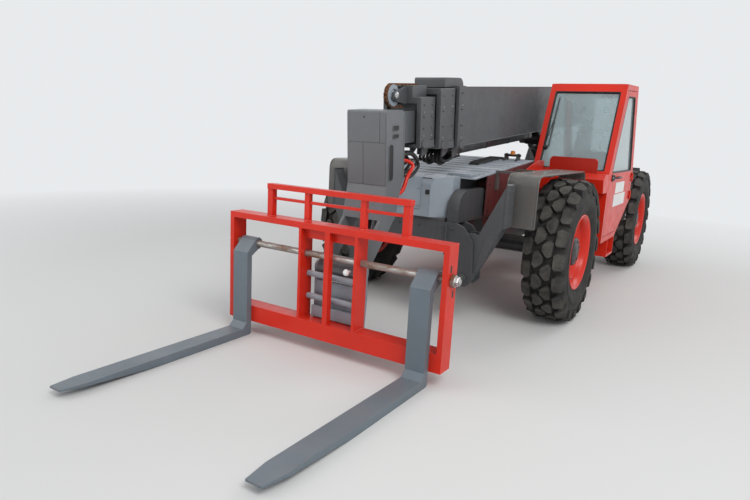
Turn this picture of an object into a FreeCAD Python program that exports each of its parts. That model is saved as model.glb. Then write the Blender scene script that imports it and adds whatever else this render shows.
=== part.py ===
import FreeCAD, Part
import math
import os

from FreeCAD import Vector

# Telehandler with a four-section boom, in millimetres.
# +X points the way the forks point, +Y is the cab side, +Z is up.
# Heights are above the floor. Lengths along the machine are measured from the
# front axle, and the finished pieces are moved so that the origin lies on the
# floor under the middle of the whole machine, forks included.
# A place on the boom is (s, n): s along the boom from its pivot, n square to it.

# Wheels
TYRE_RADIUS = 660.0
TYRE_WIDTH = 375.0
TREAD_FLOOR_RADIUS = 618.0
LUGS_PER_ROW = 12
LUG_REACH = 35.0
LUG_KNEE = 15.0
LUG_SHARE = 0.9
LUG_ROOT = 30.0
SHOULDER_BEVEL = 26.0
SHOULDER_DROP = 70.0
RIM_RADIUS = 345.0
RIM_BARREL_RADIUS = 318.0
RIM_WIDTH = 320.0
RIM_WALL = 12.0
RIM_DISC_RADIUS = 225.0
RIM_DISC_WALL = 14.0
RIM_HUB_BACK = 70.0
RIM_DISC_OFFSET = 35.0
SEAT_CLEARANCE = 0.3
HUB_RADIUS = 118.0
HUB_LENGTH = 118.0
SPINDLE_RADIUS = 70.0

# Chassis and axles
WHEELBASE = 3300.0
OVERALL_WIDTH = 2570.0
REAR_OVERHANG = 960.0
FRAME_HALF_WIDTH = 330.0
FRAME_PLATE = 25.0
BELLY_HEIGHT = 560.0
AXLE_ARCH_HEIGHT = 880.0
DECK_HEIGHT = 1290.0
NOSE_FRONT = 915.0
AXLE_TUBE_RADIUS = 80.0
DIFFERENTIAL_RADIUS = 175.0
KINGPIN_INSET = 235.0
KINGPIN_RADIUS = 30.0
YOKE_HALF_HEIGHT = 115.0
YOKE_PLATE = 30.0
PIN_CLEARANCE = 0.3
MOVING_GAP = 8.0

FRAME_REAR = 120.0
HITCH_REACH = 72.0
HITCH_HEIGHT = 780.0
HITCH_MOUTH = 60.0
HITCH_PLATE = 20.0
HITCH_PIN_RADIUS = 16.0

# Covers over the frame's nose, the deck behind them, and the front mudguards
COVER_FRONT = 1045.0
COVER_SHOULDER = 930.0
COVER_REAR = 780.0
COVER_FACE = 400.0
COVER_WALL = 20.0
COVER_LID = 20.0
DECK_WIDTH = 980.0
DECK_REAR = -780.0
DECK_RISE = 138.0
DECK_PLATE = 12.0
CHEEK_WIDTH = 100.0
CHEEK_TOP = 1200.0
CHEEK_REAR = 360.0
CHEEK_ROUND = 170.0
CHEEK_WALL = 12.0
SIDE_PANEL_FRONT = 480.0
SIDE_PANEL_LOW = 950.0
SIDE_PANEL_PLATE = 20.0
FENDER_INNER = 790.0
FENDER_OUTER = 1050.0
FENDER_FRONT = 812.0
FENDER_REAR = -740.0
FENDER_LOW = 930.0
FENDER_RISE = 52.0
FENDER_SHEET = 12.0
FENDER_ROUND = 92.0
FENDER_ARM = 60.0
FENDER_FOOT = 20.0
FENDER_ARMS = (250.0, -300.0)

# Boom
BOOM_PIVOT_BEHIND_AXLE = 450.0
BOOM_PIVOT_HEIGHT = 2200.0
BOOM_REST_ANGLE = 5.0
BOOM_PIN_RADIUS = 50.0
BOOM_WALL = 10.0
HEAD_GAP = 25.0
PAD_CLEARANCE = 0.3
PAD_LENGTH = 120.0

# Boom sections, outermost first:
# head end s, rear end s, width, lowest n, highest n
BOOM_SECTIONS = (
    (4430.0, -230.0, 420.0, -260.0, 260.0),
    (4750.0, 150.0, 356.0, -232.0, 210.0),
    (5040.0, 350.0, 300.0, -204.0, 142.0),
    (5300.0, 550.0, 240.0, -176.0, 75.0),
)

# Gear on the boom's head: an arched housing on the base, and on the third section's
# collar a box whose two plates hold a sheave with its chain
HOUSING_FRONT = 4560.0
HOUSING_LENGTH = 380.0
HOUSING_WIDTH = 300.0
HOUSING_HEIGHT = 82.0
HEAD_BOX_LENGTH = 240.0
HEAD_BOX_WIDTH = 200.0
SHEAVE_REACH = 165.0
SHEAVE_N = 195.0
SHEAVE_RADIUS = 84.0
SHEAVE_WIDTH = 44.0
SHEAVE_SIDES = 16
SHEAVE_PIN_RADIUS = 18.0
SHEAVE_PLATE = 14.0
CHAIN_PITCH = 34.0
CHAIN_WIDTH = 40.0
CHAIN_HEIGHT = 16.0

# Boom nose, its neck and the tilt cylinder
NOSE_DEPTH = 260.0
NOSE_WIDTH = 355.0
NOSE_TOP = 92.0
NOSE_BOTTOM = -470.0
NOSE_WALL = 16.0
NOSE_ROUND = 36.0
NECK_PLATE = 25.0
NECK_LEAN = 75.0
TILT_X = 2035.0
TILT_Z = 620.0
TILT_PIN_RADIUS = 32.0
TILT_BOSS_RADIUS = 68.0
TILT_LEVER = (-165.0, -250.0)
TILT_BASE = (1588.0, 1500.0)
TILT_RETRACT = 396.0
TILT_BARREL_RADIUS = 45.0
TILT_ROD_RADIUS = 28.0
TILT_EYE_PIN_RADIUS = 25.0

# Lift cylinder: base pin on the frame, rod pin under the boom
LIFT_BASE_BEHIND_AXLE = 350.0
LIFT_BASE_HEIGHT = 900.0
LIFT_PIN_S = 1600.0
LIFT_PIN_N = -380.0
LIFT_BARREL_RADIUS = 95.0
LIFT_ROD_RADIUS = 60.0
LIFT_PIN_RADIUS = 40.0

# Carriage and forks
CARRIAGE_FRONT = 2230.0
CARRIAGE_DEPTH = 140.0
CARRIAGE_WIDTH = 1930.0
CARRIAGE_TOP = 975.0
CARRIAGE_BOTTOM = 108.0
CARRIAGE_PLATE = 40.0
CARRIAGE_BEAM = 46.0
LOW_BEAM_HEIGHT = 130.0
CENTRE_PLATE_Y = 250.0
BACKREST_TOP = 1222.0
BACKREST_WIDTH = 1260.0
BACKREST_TUBE = 55.0
SHAFT_RADIUS = 25.0
SHAFT_HEIGHT = 735.0
FORK_LENGTH = 1520.0
FORK_WIDTH = 150.0
FORK_THICKNESS = 60.0
FORK_SHANK = 50.0
FORK_TAPER = 700.0
FORK_TIP = 12.0
FORK_TIP_WIDTH = 104.0
FORK_TIP_TAPER = 160.0
FORK_SPACING = 1600.0
FORK_EYE_RADIUS = 48.0

# Cab
CAB_OUTER = 1225.0
CAB_INNER = 400.0
CAB_WALL = 40.0
CAB_FLOOR = 600.0
CAB_FRONT = -1040.0
CAB_REAR = -2440.0
CAB_WAIST = 1330.0
CAB_ROOF = 2300.0
CAB_ROOF_FRONT = -1450.0
CAB_ROOF_REAR = -2080.0
CAB_ROOF_RISE = 30.0
CAB_PILLAR = 60.0
ROOF_BARS = 5
ROOF_BAR = (16.0, 12.0)
STEP_DEPTH = 145.0
COWL_FRONT = -800.0
COWL_LOW = 1150.0
COWL_SHEET = 14.0
COWL_PLATE_X = -900.0
COWL_PLATE_Y = (630.0, 1130.0)
COWL_PLATE_TOP = 1500.0
WING_TIP = -100.0
DOOR_GAP = 6.0
GLASS = 6.0

# Engine pod on the right-hand side
POD_FRONT = -810.0
POD_REAR = -2490.0
POD_OUTER = 1215.0
POD_INNER = 420.0
POD_FLOOR = 620.0
POD_RIM = 1040.0
POD_TOP = 1340.0
POD_WALL = 25.0
POD_LOUVRES = 6
POD_LOUVRE_PITCH = 48.0
POD_LOUVRE_SLOT = 22.0
LID_GAP = 6.0

# Hinges of the door and of the engine's lid
HINGE_PIN_RADIUS = 6.0
HINGE_RADIUS = 11.0
HINGE_RISE = 12.0
HINGE_KNUCKLE = 34.0
HINGE_LEAF = 55.0
HINGE_LEAF_THICKNESS = 7.0
DOOR_HINGE_HEIGHTS = (1050.0, 1270.0)
LID_HINGE_ENDS = (350.0, 1450.0)

# Stabilisers
LEG_PIVOT = (540.0, 470.0)
LEG_SOLE = ((852.0, 941.0), (852.0, 1280.0))
LEG_WALL = 12.0
LEG_CYLINDER_PIN = (560.0, 815.0)
LEG_CYLINDER_BASE = (-210.0, 880.0)
LEG_BACK = 850.0
LEG_DEPTH = 140.0
LEG_PIN_RADIUS = 22.0
LEG_BARREL_RADIUS = 29.0
LEG_ROD_RADIUS = 18.0
LEG_EYE_PIN_RADIUS = 16.0
LEG_EYE_WIDTH = 40.0
LEG_CYLINDER_INSET = 37.0
LEG_HOUSE_TOP = 930.0
LEG_HOUSE_PLATE = 20.0

FORK_FACE = CARRIAGE_FRONT + SEAT_CLEARANCE + FORK_SHANK
FRONT_REACH = FORK_FACE + FORK_LENGTH
HITCH_X = -WHEELBASE - REAR_OVERHANG + HITCH_REACH / 2
MIDDLE = (FRONT_REACH - WHEELBASE - REAR_OVERHANG) / 2
WHEEL_Y = (OVERALL_WIDTH - TYRE_WIDTH) / 2
KINGPIN_Y = WHEEL_Y - KINGPIN_INSET
BOOM_PIVOT_X = -WHEELBASE - BOOM_PIVOT_BEHIND_AXLE
SHAFT_X = CARRIAGE_FRONT - CARRIAGE_DEPTH / 2
LEG_HOUSE_X = (LEG_BACK - MOVING_GAP - LEG_HOUSE_PLATE, LEG_BACK + LEG_DEPTH + MOVING_GAP)
UP = Vector(0, 0, 1)
ACROSS = Vector(0, 1, 0)
ALONG = Vector(1, 0, 0)

# Bosses and holes have flat sides, more of them on thicker ones: up to this radius, that many
BAR_FLATS = ((20.0, 8), (50.0, 10), (1000.0, 14))


# Basic shapes
def block(x, y, z):
    """Box between the given pairs of limits."""
    size = [abs(pair[1] - pair[0]) for pair in (x, y, z)]
    return Part.makeBox(*size, Vector(min(x), min(y), min(z)))


def extrude(points, direction):
    """Closed outline of points, carried along a direction."""
    wire = Part.makePolygon(list(points) + [points[0]])
    return Part.Face(wire).extrude(direction)


def side_plate(outline, y):
    """Plate with an (x, z) outline between two values of y."""
    points = [Vector(px, y[0], pz) for px, pz in outline]
    return extrude(points, Vector(0, y[1] - y[0], 0))


def flat_plate(outline, z):
    """Plate with an (x, y) outline between two heights."""
    points = [Vector(px, py, z[0]) for px, py in outline]
    return extrude(points, Vector(0, 0, z[1] - z[0]))


def end_plate(outline, x):
    """Plate with a (y, z) outline between two values of x."""
    points = [Vector(x[0], py, pz) for py, pz in outline]
    return extrude(points, Vector(x[1] - x[0], 0, 0))


def flats(radius):
    """How many flat sides stand for a round bar or hole of this radius."""
    return next(count for limit, count in BAR_FLATS if radius <= limit)


def prism(start, end, corner, count, turn):
    """Regular prism between two points, its corners at a radius, turned by a share of one side."""
    axis = end - start
    place = FreeCAD.Placement(start, FreeCAD.Rotation(UP, axis))
    step = 2 * math.pi / count
    points = [Vector(corner * math.cos((i + turn) * step), corner * math.sin((i + turn) * step), 0)
              for i in range(count)]
    shape = extrude(points, Vector(0, 0, axis.Length))
    shape.Placement = place
    return shape


def rod(start, end, radius):
    """Round bar between two points."""
    axis = end - start
    return Part.makeCylinder(radius, axis.Length, start, axis)


def boss(start, end, radius):
    """Boss, eye or tube with flat sides whose corners lie on its radius."""
    return prism(start, end, radius, flats(radius), 0.0)


def bore(start, end, radius):
    """Tool for a hole with flat sides that lie on its radius."""
    count = flats(radius)
    return prism(start, end, radius / math.cos(math.pi / count), count, 0.5)


def across(tool, x, z, y, radius):
    """A rod, boss or bore along Y between two values of y."""
    return tool(Vector(x, min(y), z), Vector(x, max(y), z), radius)


def fuse(shapes):
    """One solid from shapes that meet."""
    shapes = list(shapes)
    joined = shapes[0].fuse(shapes[1:]) if len(shapes) > 1 else shapes[0]
    return joined.removeSplitter()


def round_edges(shape, places):
    """Rounds the edges along Y that pass through (x, z) places, each with its own radius."""
    for x, z, radius in places:
        chosen = [edge for edge in shape.Edges
                  if all(abs(end.X - x) < 1 and abs(end.Z - z) < 1 for end in edge.Vertexes)]
        shape = shape.makeFillet(radius, chosen)
    return shape


def mirror(shape):
    """The same shape on the other side of the machine."""
    return shape.mirror(Vector(0, 0, 0), ACROSS)


def on_side(shape, side):
    """A left-hand shape, or its mirror image for the right."""
    return shape if side == "left" else mirror(shape)


def moved(shape, x=0.0, y=0.0, z=0.0):
    """A copy of the shape, moved."""
    copy = shape.copy()
    copy.translate(Vector(x, y, z))
    return copy


# Places on the boom
def boom_point(s, n, y=0.0):
    """World place of a point given along and square to the lowered boom."""
    angle = math.radians(BOOM_REST_ANGLE)
    return Vector(BOOM_PIVOT_X + s * math.cos(angle) + n * math.sin(angle), y,
                  BOOM_PIVOT_HEIGHT - s * math.sin(angle) + n * math.cos(angle))


def boom_place(x, z):
    """(s, n) of a world place on the lowered boom."""
    angle = math.radians(BOOM_REST_ANGLE)
    dx, dz = x - BOOM_PIVOT_X, z - BOOM_PIVOT_HEIGHT
    return (dx * math.cos(angle) - dz * math.sin(angle),
            dx * math.sin(angle) + dz * math.cos(angle))


def on_boom(shape):
    """A shape drawn along the boom, lowered to the boom's rest angle."""
    copy = shape.copy()
    copy.rotate(Vector(0, 0, 0), ACROSS, BOOM_REST_ANGLE)
    copy.translate(boom_point(0, 0))
    return copy


# Hinges, drawn with the pin along Z through the origin
def hinge_knuckle(z, side):
    """Knuckle between two heights with a leaf on the surface HINGE_RISE below the pin."""
    leaf = block((0, side * HINGE_LEAF), (-HINGE_RISE, -HINGE_RISE + HINGE_LEAF_THICKNESS), z)
    return fuse([boss(Vector(0, 0, z[0]), Vector(0, 0, z[1]), HINGE_RADIUS), leaf])


def make_hinge():
    """Fixed half with the pin and its two knuckles, and the moving half between them."""
    half, reach = HINGE_KNUCKLE / 2, 1.5 * HINGE_KNUCKLE
    fixed = [hinge_knuckle((side * (half + PIN_CLEARANCE), side * reach), -1) for side in (-1, 1)]
    fixed.append(rod(Vector(0, 0, -reach), Vector(0, 0, reach), HINGE_PIN_RADIUS))
    hole = bore(Vector(0, 0, -reach), Vector(0, 0, reach), HINGE_PIN_RADIUS + PIN_CLEARANCE)
    return fuse(fixed), hinge_knuckle((-half, half), 1).cut(hole)


def place_hinge(half, origin, along, normal):
    """A hinge half with its moving leaf pointing along one direction, on a face with a normal."""
    copy = half.copy()
    turn = FreeCAD.Rotation(along, normal, along.cross(normal), "XYZ")
    copy.Placement = FreeCAD.Placement(origin, turn)
    return copy


# Wheels, drawn with the axle along Y and the outer side towards +Y
def ring_points(radius, y, sides):
    """Corners of a regular polygon around the wheel's axle, a flat side at the bottom."""
    turn = 2 * math.pi / sides
    corner = radius / math.cos(turn / 2)
    return [Vector(corner * math.sin((i + 0.5) * turn), y, -corner * math.cos((i + 0.5) * turn))
            for i in range(sides)]


def polygon_face(points):
    return Part.Face(Part.makePolygon(points + points[:1]))


def spool(stations, sides):
    """Solid with flat faces between polygons of the given (y, radius)."""
    rings = [ring_points(radius, y, sides) for y, radius in stations]
    faces = [polygon_face(rings[0]), polygon_face(rings[-1])]
    for low, high in zip(rings, rings[1:]):
        for i in range(sides):
            faces.append(polygon_face([low[i - 1], low[i], high[i], high[i - 1]]))
    solid = Part.makeSolid(Part.makeShell(faces))
    if solid.Volume < 0:
        solid.reverse()
    return solid


def tread_lug(side, angle):
    """One tread block: a tapered hexagon from past the centre line to the shoulder, bevelled there."""
    half = LUG_SHARE * TREAD_FLOOR_RADIUS * math.tan(math.pi / LUGS_PER_ROW / 2)
    edge = TYRE_WIDTH / 2
    outline = [(-LUG_REACH, -0.45 * half), (LUG_KNEE, -half), (edge, -half),
               (edge, half), (LUG_KNEE, half), (-LUG_REACH, 0.45 * half)]
    top, root = -TYRE_RADIUS, -TREAD_FLOOR_RADIUS + LUG_ROOT
    lug = extrude([Vector(t, side * y, root) for y, t in outline], Vector(0, 0, top - root))
    bevel = [(side * (edge - SHOULDER_BEVEL), top), (side * edge, top + SHOULDER_DROP),
             (side * (edge + 1), top + SHOULDER_DROP), (side * (edge + 1), top - 1),
             (side * (edge - SHOULDER_BEVEL), top - 1)]
    lug = lug.cut(end_plate(bevel, (-2 * half, 2 * half)))
    lug.rotate(Vector(0, 0, 0), ACROSS, math.degrees(angle))
    return lug


def make_tyre():
    sides = 2 * LUGS_PER_ROW
    half = TYRE_WIDTH / 2
    bead = RIM_WIDTH / 2 - RIM_WALL - SEAT_CLEARANCE
    carcass = spool([(-half, 430), (-half + 4, 560), (-half + 36, TREAD_FLOOR_RADIUS),
                     (half - 36, TREAD_FLOOR_RADIUS), (half - 4, 560), (half, 430)], sides)
    lugs = []
    for i in range(sides):
        side = 1 if i % 2 == 0 else -1
        lugs.append(tread_lug(side, 2 * math.pi * i / sides))
    seat = RIM_BARREL_RADIUS + SEAT_CLEARANCE
    hole = spool([(-half - 1, 432), (-bead, RIM_RADIUS + 3), (-bead + 0.5, seat),
                  (bead - 0.5, seat), (bead, RIM_RADIUS + 3), (half + 1, 432)], sides)
    return fuse([carcass] + lugs).cut(hole)


def make_rim():
    """Deep-dish rim with its disc and hub."""
    sides = 2 * LUGS_PER_ROW
    lip, face = RIM_WIDTH / 2, RIM_DISC_OFFSET
    seat = lip - RIM_WALL
    well = RIM_BARREL_RADIUS - RIM_WALL
    barrel = RIM_BARREL_RADIUS
    body = spool([(-lip, RIM_RADIUS), (-seat, barrel), (seat, barrel), (lip, RIM_RADIUS)], sides)
    dish = spool([(face, RIM_DISC_RADIUS), (face + 40, RIM_DISC_RADIUS + 40), (lip + 1, well)], sides)
    back = spool([(-lip - 1, well), (face - RIM_DISC_WALL, RIM_DISC_RADIUS + 30)], sides)
    hub = spool([(-RIM_HUB_BACK, HUB_RADIUS + 20), (face, HUB_RADIUS), (HUB_LENGTH - 20, HUB_RADIUS - 10),
                 (HUB_LENGTH, HUB_RADIUS - 28)], LUGS_PER_ROW)
    rim = fuse([body.cut([dish, back]), hub])
    return rim.cut(bore(Vector(0, -RIM_HUB_BACK - 1, 0), Vector(0, 10, 0), SPINDLE_RADIUS + PIN_CLEARANCE))


# Axles and knuckles
def make_axle(x):
    """Steering axle: tube, differential, saddle under the frame and yokes for the knuckles."""
    z = TYRE_RADIUS
    inner = KINGPIN_Y - 95
    tube = across(boss, x, z, (-inner, inner), AXLE_TUBE_RADIUS)
    reach = DIFFERENTIAL_RADIUS
    bulb = spool([(-reach, AXLE_TUBE_RADIUS), (-0.45 * reach, reach), (0.45 * reach, reach),
                  (reach, AXLE_TUBE_RADIUS)], flats(reach))
    bulb = moved(bulb, x=x, z=z)
    nose = boss(Vector(x, 0, z), Vector(x - math.copysign(260, x + WHEELBASE / 2), 0, z), AXLE_TUBE_RADIUS)
    seat = AXLE_ARCH_HEIGHT - SEAT_CLEARANCE
    saddle = side_plate([(x - 150, seat), (x + 150, seat), (x + 95, z + 30), (x - 95, z + 30)],
                        (-FRAME_HALF_WIDTH, FRAME_HALF_WIDTH))
    saddle = saddle.cut(block((x - 200, x + 200), (-230, 230), (z, z + 400)))
    parts = [tube, bulb, nose, saddle]
    for side in (-1, 1):
        web = block((x - 60, x + 60), (side * (inner - 30), side * (inner + 12)),
                    (z - YOKE_HALF_HEIGHT - YOKE_PLATE, z + YOKE_HALF_HEIGHT + YOKE_PLATE))
        parts.append(web)
        for low in (-YOKE_HALF_HEIGHT - YOKE_PLATE, YOKE_HALF_HEIGHT):
            y, high = side * KINGPIN_Y, low + YOKE_PLATE
            arm = block((x - 60, x + 60), (side * inner, y), (z + low, z + high))
            eye = boss(Vector(x, y, z + low), Vector(x, y, z + high), 60)
            parts += [arm, eye]
    axle = fuse(parts)
    holes = [bore(Vector(x, side * KINGPIN_Y, z - 200), Vector(x, side * KINGPIN_Y, z + 200),
                  KINGPIN_RADIUS + PIN_CLEARANCE) for side in (-1, 1)]
    return axle.cut(holes)


def make_knuckle(x):
    """Left-hand knuckle: housing on the kingpins, with the wheel's spindle."""
    z = TYRE_RADIUS
    reach = YOKE_HALF_HEIGHT - MOVING_GAP / 2
    housing = rod(Vector(x, KINGPIN_Y, z - reach), Vector(x, KINGPIN_Y, z + reach), 72)
    pins = boss(Vector(x, KINGPIN_Y, z - YOKE_HALF_HEIGHT - YOKE_PLATE - 12),
                Vector(x, KINGPIN_Y, z + YOKE_HALF_HEIGHT + YOKE_PLATE + 12), KINGPIN_RADIUS)
    carrier = across(boss, x, z, (KINGPIN_Y, WHEEL_Y - RIM_HUB_BACK - MOVING_GAP), 100)
    spindle = across(rod, x, z, (KINGPIN_Y, WHEEL_Y + 5), SPINDLE_RADIUS)
    arm = block((x - 190, x), (KINGPIN_Y - 25, KINGPIN_Y + 25), (z - 20, z + 20))
    return fuse([housing, pins, carrier, spindle, arm])


# Chassis
def make_frame():
    half, plate = FRAME_HALF_WIDTH, FRAME_PLATE
    rear = -WHEELBASE - REAR_OVERHANG
    px, pz = BOOM_PIVOT_X, BOOM_PIVOT_HEIGHT
    house = LEG_HOUSE_X[0] - SEAT_CLEARANCE
    outline = [(house, 700), (house, LEG_HOUSE_TOP), (NOSE_FRONT, LEG_HOUSE_TOP),
               (NOSE_FRONT, DECK_HEIGHT), (-2880, DECK_HEIGHT),
               (px + 290, pz - 60), (px + 200, pz + 110), (px + 80, pz + 170), (px - 90, pz + 160),
               (px - 190, pz + 60), (px - 300, 1500), (rear + FRAME_REAR, 1340), (rear + FRAME_REAR, 800),
               (-WHEELBASE - 300, 800), (-WHEELBASE - 240, AXLE_ARCH_HEIGHT),
               (-WHEELBASE + 240, AXLE_ARCH_HEIGHT), (-WHEELBASE + 320, BELLY_HEIGHT),
               (-420, BELLY_HEIGHT), (-300, AXLE_ARCH_HEIGHT), (300, AXLE_ARCH_HEIGHT), (380, 700)]
    sides = [side_plate(outline, (half - plate, half)), side_plate(outline, (-half, -half + plate))]
    inside = (-half + plate, half - plate)
    braces = [
        block((NOSE_FRONT - plate, NOSE_FRONT), inside, (LEG_HOUSE_TOP, DECK_HEIGHT)),
        block((house - plate, LEG_HOUSE_X[1] + LEG_HOUSE_PLATE), (-half, half),
              (LEG_HOUSE_TOP, LEG_HOUSE_TOP + plate)),
        block((-420, -420 + plate), inside, (BELLY_HEIGHT, DECK_HEIGHT)),
        block((-2400, -2400 + plate), inside, (BELLY_HEIGHT, 1100)),
        block((-2400, -420), inside, (BELLY_HEIGHT, BELLY_HEIGHT + plate)),
        block((-700, 700), inside, (DECK_HEIGHT - plate, DECK_HEIGHT)),
        block((rear + FRAME_REAR, rear + FRAME_REAR + plate), inside, (800, 1340)),
    ]
    pin = across(bore, px, pz, (-half - 5, half + 5), BOOM_PIN_RADIUS + PIN_CLEARANCE)
    return fuse(sides + braces).cut(pin)


def leg_cylinder_x(side):
    """Place along the machine of a stabiliser's cylinder: the two pass each other."""
    inset = LEG_CYLINDER_INSET if side == 1 else LEG_DEPTH - LEG_CYLINDER_INSET
    return LEG_BACK + inset


def make_boom_pin():
    """Pin of the boom's foot, held in the towers."""
    half = FRAME_HALF_WIDTH
    return across(rod, BOOM_PIVOT_X, BOOM_PIVOT_HEIGHT, (-half - 30, half + 30), BOOM_PIN_RADIUS)


def make_counterweight():
    """Cast counterweight behind the rear wheels, with the tow hitch in its foot."""
    rear = HITCH_X + HITCH_REACH / 2
    seat = -WHEELBASE - REAR_OVERHANG + FRAME_REAR - SEAT_CLEARANCE
    outline = [(rear, 740), (rear, 1230), (rear + 40, 1310), (seat, 1330), (seat, 640), (rear + 45, 640)]
    back = side_plate(outline, (-1050, 1050))
    hitch = []
    for low in (HITCH_HEIGHT - HITCH_MOUTH / 2 - HITCH_PLATE, HITCH_HEIGHT + HITCH_MOUTH / 2):
        z = (low, low + HITCH_PLATE)
        hitch.append(flat_plate([(rear + 20, -90), (rear + 20, 90), (rear - HITCH_REACH, 50),
                                 (rear - HITCH_REACH, -50)], z))
    low, high = HITCH_HEIGHT - HITCH_MOUTH, HITCH_HEIGHT + HITCH_MOUTH
    hole = rod(Vector(HITCH_X, 0, low), Vector(HITCH_X, 0, high), HITCH_PIN_RADIUS)
    return fuse([back] + hitch).cut(hole)


def cover_plan(inset):
    """Plan of the front cover: a flat face between two slanting shoulders, taken in by a wall."""
    half = FRAME_HALF_WIDTH + SEAT_CLEARANCE + COVER_WALL - inset
    face = (COVER_FACE - inset) / 2
    front, shoulder = COVER_FRONT - inset, COVER_SHOULDER - inset / 2
    return [(COVER_REAR, -half), (shoulder, -half), (front, -face),
            (front, face), (shoulder, half), (COVER_REAR, half)]


def deck_top(x):
    """Height of the deck, which rises towards the rear."""
    share = (COVER_REAR - x) / (COVER_REAR - DECK_REAR)
    return DECK_HEIGHT + SEAT_CLEARANCE + DECK_PLATE + DECK_RISE * share


def make_front_cover():
    """Hollow cover over the nose of the frame, and the deck plate behind it."""
    low = LEG_HOUSE_TOP + FRAME_PLATE + SEAT_CLEARANCE
    seat = DECK_HEIGHT + SEAT_CLEARANCE
    brow = seat + COVER_LID
    side = [(COVER_REAR, low), (COVER_FRONT, low), (COVER_FRONT, seat - 50), (COVER_FRONT - 22, brow - 22),
            (COVER_FRONT - 75, brow), (COVER_REAR, brow)]
    half = DECK_WIDTH / 2
    outer = flat_plate(cover_plan(0.0), (low, brow)).common(side_plate(side, (-half, half)))
    room = flat_plate(cover_plan(COVER_WALL), (low - 1, seat))
    rear = COVER_REAR - SEAT_CLEARANCE
    deck = side_plate([(rear, deck_top(rear)), (DECK_REAR, deck_top(DECK_REAR)),
                       (DECK_REAR, deck_top(DECK_REAR) - DECK_PLATE), (rear, deck_top(rear) - DECK_PLATE)],
                      (-half, half))
    return [outer.cut(room), deck]


def make_cheek():
    """Left cheek beside the front cover: a shell with a rounded brow, open towards the frame."""
    inner = FRAME_HALF_WIDTH + COVER_WALL + 2 * SEAT_CLEARANCE
    low, front = LEG_HOUSE_TOP + SEAT_CLEARANCE, LEG_HOUSE_X[1]
    t = CHEEK_WALL
    shell = side_plate([(CHEEK_REAR, low), (front, low), (front, CHEEK_TOP), (CHEEK_REAR, CHEEK_TOP)],
                       (inner, inner + CHEEK_WIDTH))
    room = side_plate([(CHEEK_REAR + t, low + t), (front - t, low + t), (front - t, CHEEK_TOP - t),
                       (CHEEK_REAR + t, CHEEK_TOP - t)], (inner - 1, inner + CHEEK_WIDTH - t))
    room = round_edges(room, [(front - t, CHEEK_TOP - t, CHEEK_ROUND - t)])
    return round_edges(shell, [(front, CHEEK_TOP, CHEEK_ROUND)]).cut(room)


def make_side_panel():
    """Left panel under the edge of the deck, on two brackets from the frame."""
    outer = DECK_WIDTH / 2
    under = DECK_PLATE + SEAT_CLEARANCE
    front, rear = SIDE_PANEL_FRONT, DECK_REAR
    panel = side_plate([(rear, SIDE_PANEL_LOW), (front, SIDE_PANEL_LOW), (front, deck_top(front) - under),
                        (rear, deck_top(rear) - under)], (outer - SIDE_PANEL_PLATE, outer))
    y = (FRAME_HALF_WIDTH + SEAT_CLEARANCE, outer - SIDE_PANEL_PLATE + 1)
    brackets = [block((x, x + CHEEK_WALL), y, (SIDE_PANEL_LOW + 50, DECK_HEIGHT - 40))
                for x in (front - 180, rear + 180)]
    return fuse([panel] + brackets)


def make_leg_house():
    """Two cross plates under the frame's nose that hold the stabilisers' pins and their cylinders' feet."""
    top = LEG_HOUSE_TOP - SEAT_CLEARANCE
    half = [(0, 690), (300, 690), (470, 640), (490, 410), (570, 395), (630, 450), (615, 780), (520, 905),
            (FRAME_HALF_WIDTH + COVER_WALL + CHEEK_WIDTH, top), (0, top)]
    outline = half + [(-y, z) for y, z in reversed(half[1:-1])]
    y, z = LEG_CYLINDER_BASE
    plates = []
    for x, side in zip(LEG_HOUSE_X, (1, -1)):
        reach = (x, x + LEG_HOUSE_PLATE)
        eye = leg_cylinder_x(side)
        face = eye - side * (LEG_BARREL_RADIUS + MOVING_GAP / 2)
        wall = reach[1] if side == 1 else reach[0]
        end = eye + side * LEG_EYE_WIDTH / 2
        foot = [boss(Vector(wall, side * y, z), Vector(face, side * y, z), LEG_EYE_PIN_RADIUS + 14),
                rod(Vector(wall, side * y, z), Vector(end, side * y, z), LEG_EYE_PIN_RADIUS)]
        plate = fuse([end_plate(outline, reach)] + foot)
        pins = [bore(Vector(reach[0] - 1, hand * LEG_PIVOT[0], LEG_PIVOT[1]),
                     Vector(reach[1] + 1, hand * LEG_PIVOT[0], LEG_PIVOT[1]), LEG_PIN_RADIUS + PIN_CLEARANCE)
                for hand in (-1, 1)]
        plates.append(plate.cut(pins))
    return plates


def make_fender():
    """Left front mudguard: a bent sheet over the inner part of the tyre, on arms from the side panel."""
    t = FENDER_SHEET
    front, rear, low = FENDER_FRONT, FENDER_REAR, FENDER_LOW
    top = TYRE_RADIUS * 2 + FENDER_RISE
    tail = top - FENDER_ROUND
    sheet = side_plate([(rear, tail), (rear, top), (front, top), (front, low), (front - t, low),
                        (front - t, top - t), (rear + t, top - t), (rear + t, tail)],
                       (FENDER_INNER, FENDER_OUTER))
    inner = FENDER_ROUND - t
    sheet = round_edges(sheet, [(front, top, FENDER_ROUND), (front - t, top - t, inner),
                                (rear, top, FENDER_ROUND - 1), (rear + t, top - t, inner - 1)])
    wall = DECK_WIDTH / 2 + SEAT_CLEARANCE
    arms = []
    for x in FENDER_ARMS:
        arms.append(block((x, x + FENDER_ARM), (wall, wall + FENDER_FOOT), (DECK_HEIGHT - 110, top - t + 1)))
        arms.append(block((x, x + FENDER_ARM), (wall, FENDER_OUTER - 50), (top - t - 20, top - t + 1)))
    return fuse([sheet] + arms)


# Boom
def section_box(section, grow=0.0, ends=(0.0, 0.0)):
    """Outer block of a boom section, grown on all four sides."""
    head, tail, width, low, high = section
    half = width / 2 + grow
    return block((tail - ends[0], head + ends[1]), (-half, half), (low - grow, high + grow))


def collar_top(index):
    """Highest n of the collar at the head of an inner section."""
    return min(BOOM_SECTIONS[index - 1][4] - 8, BOOM_SECTIONS[index][4] + 40)


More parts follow.
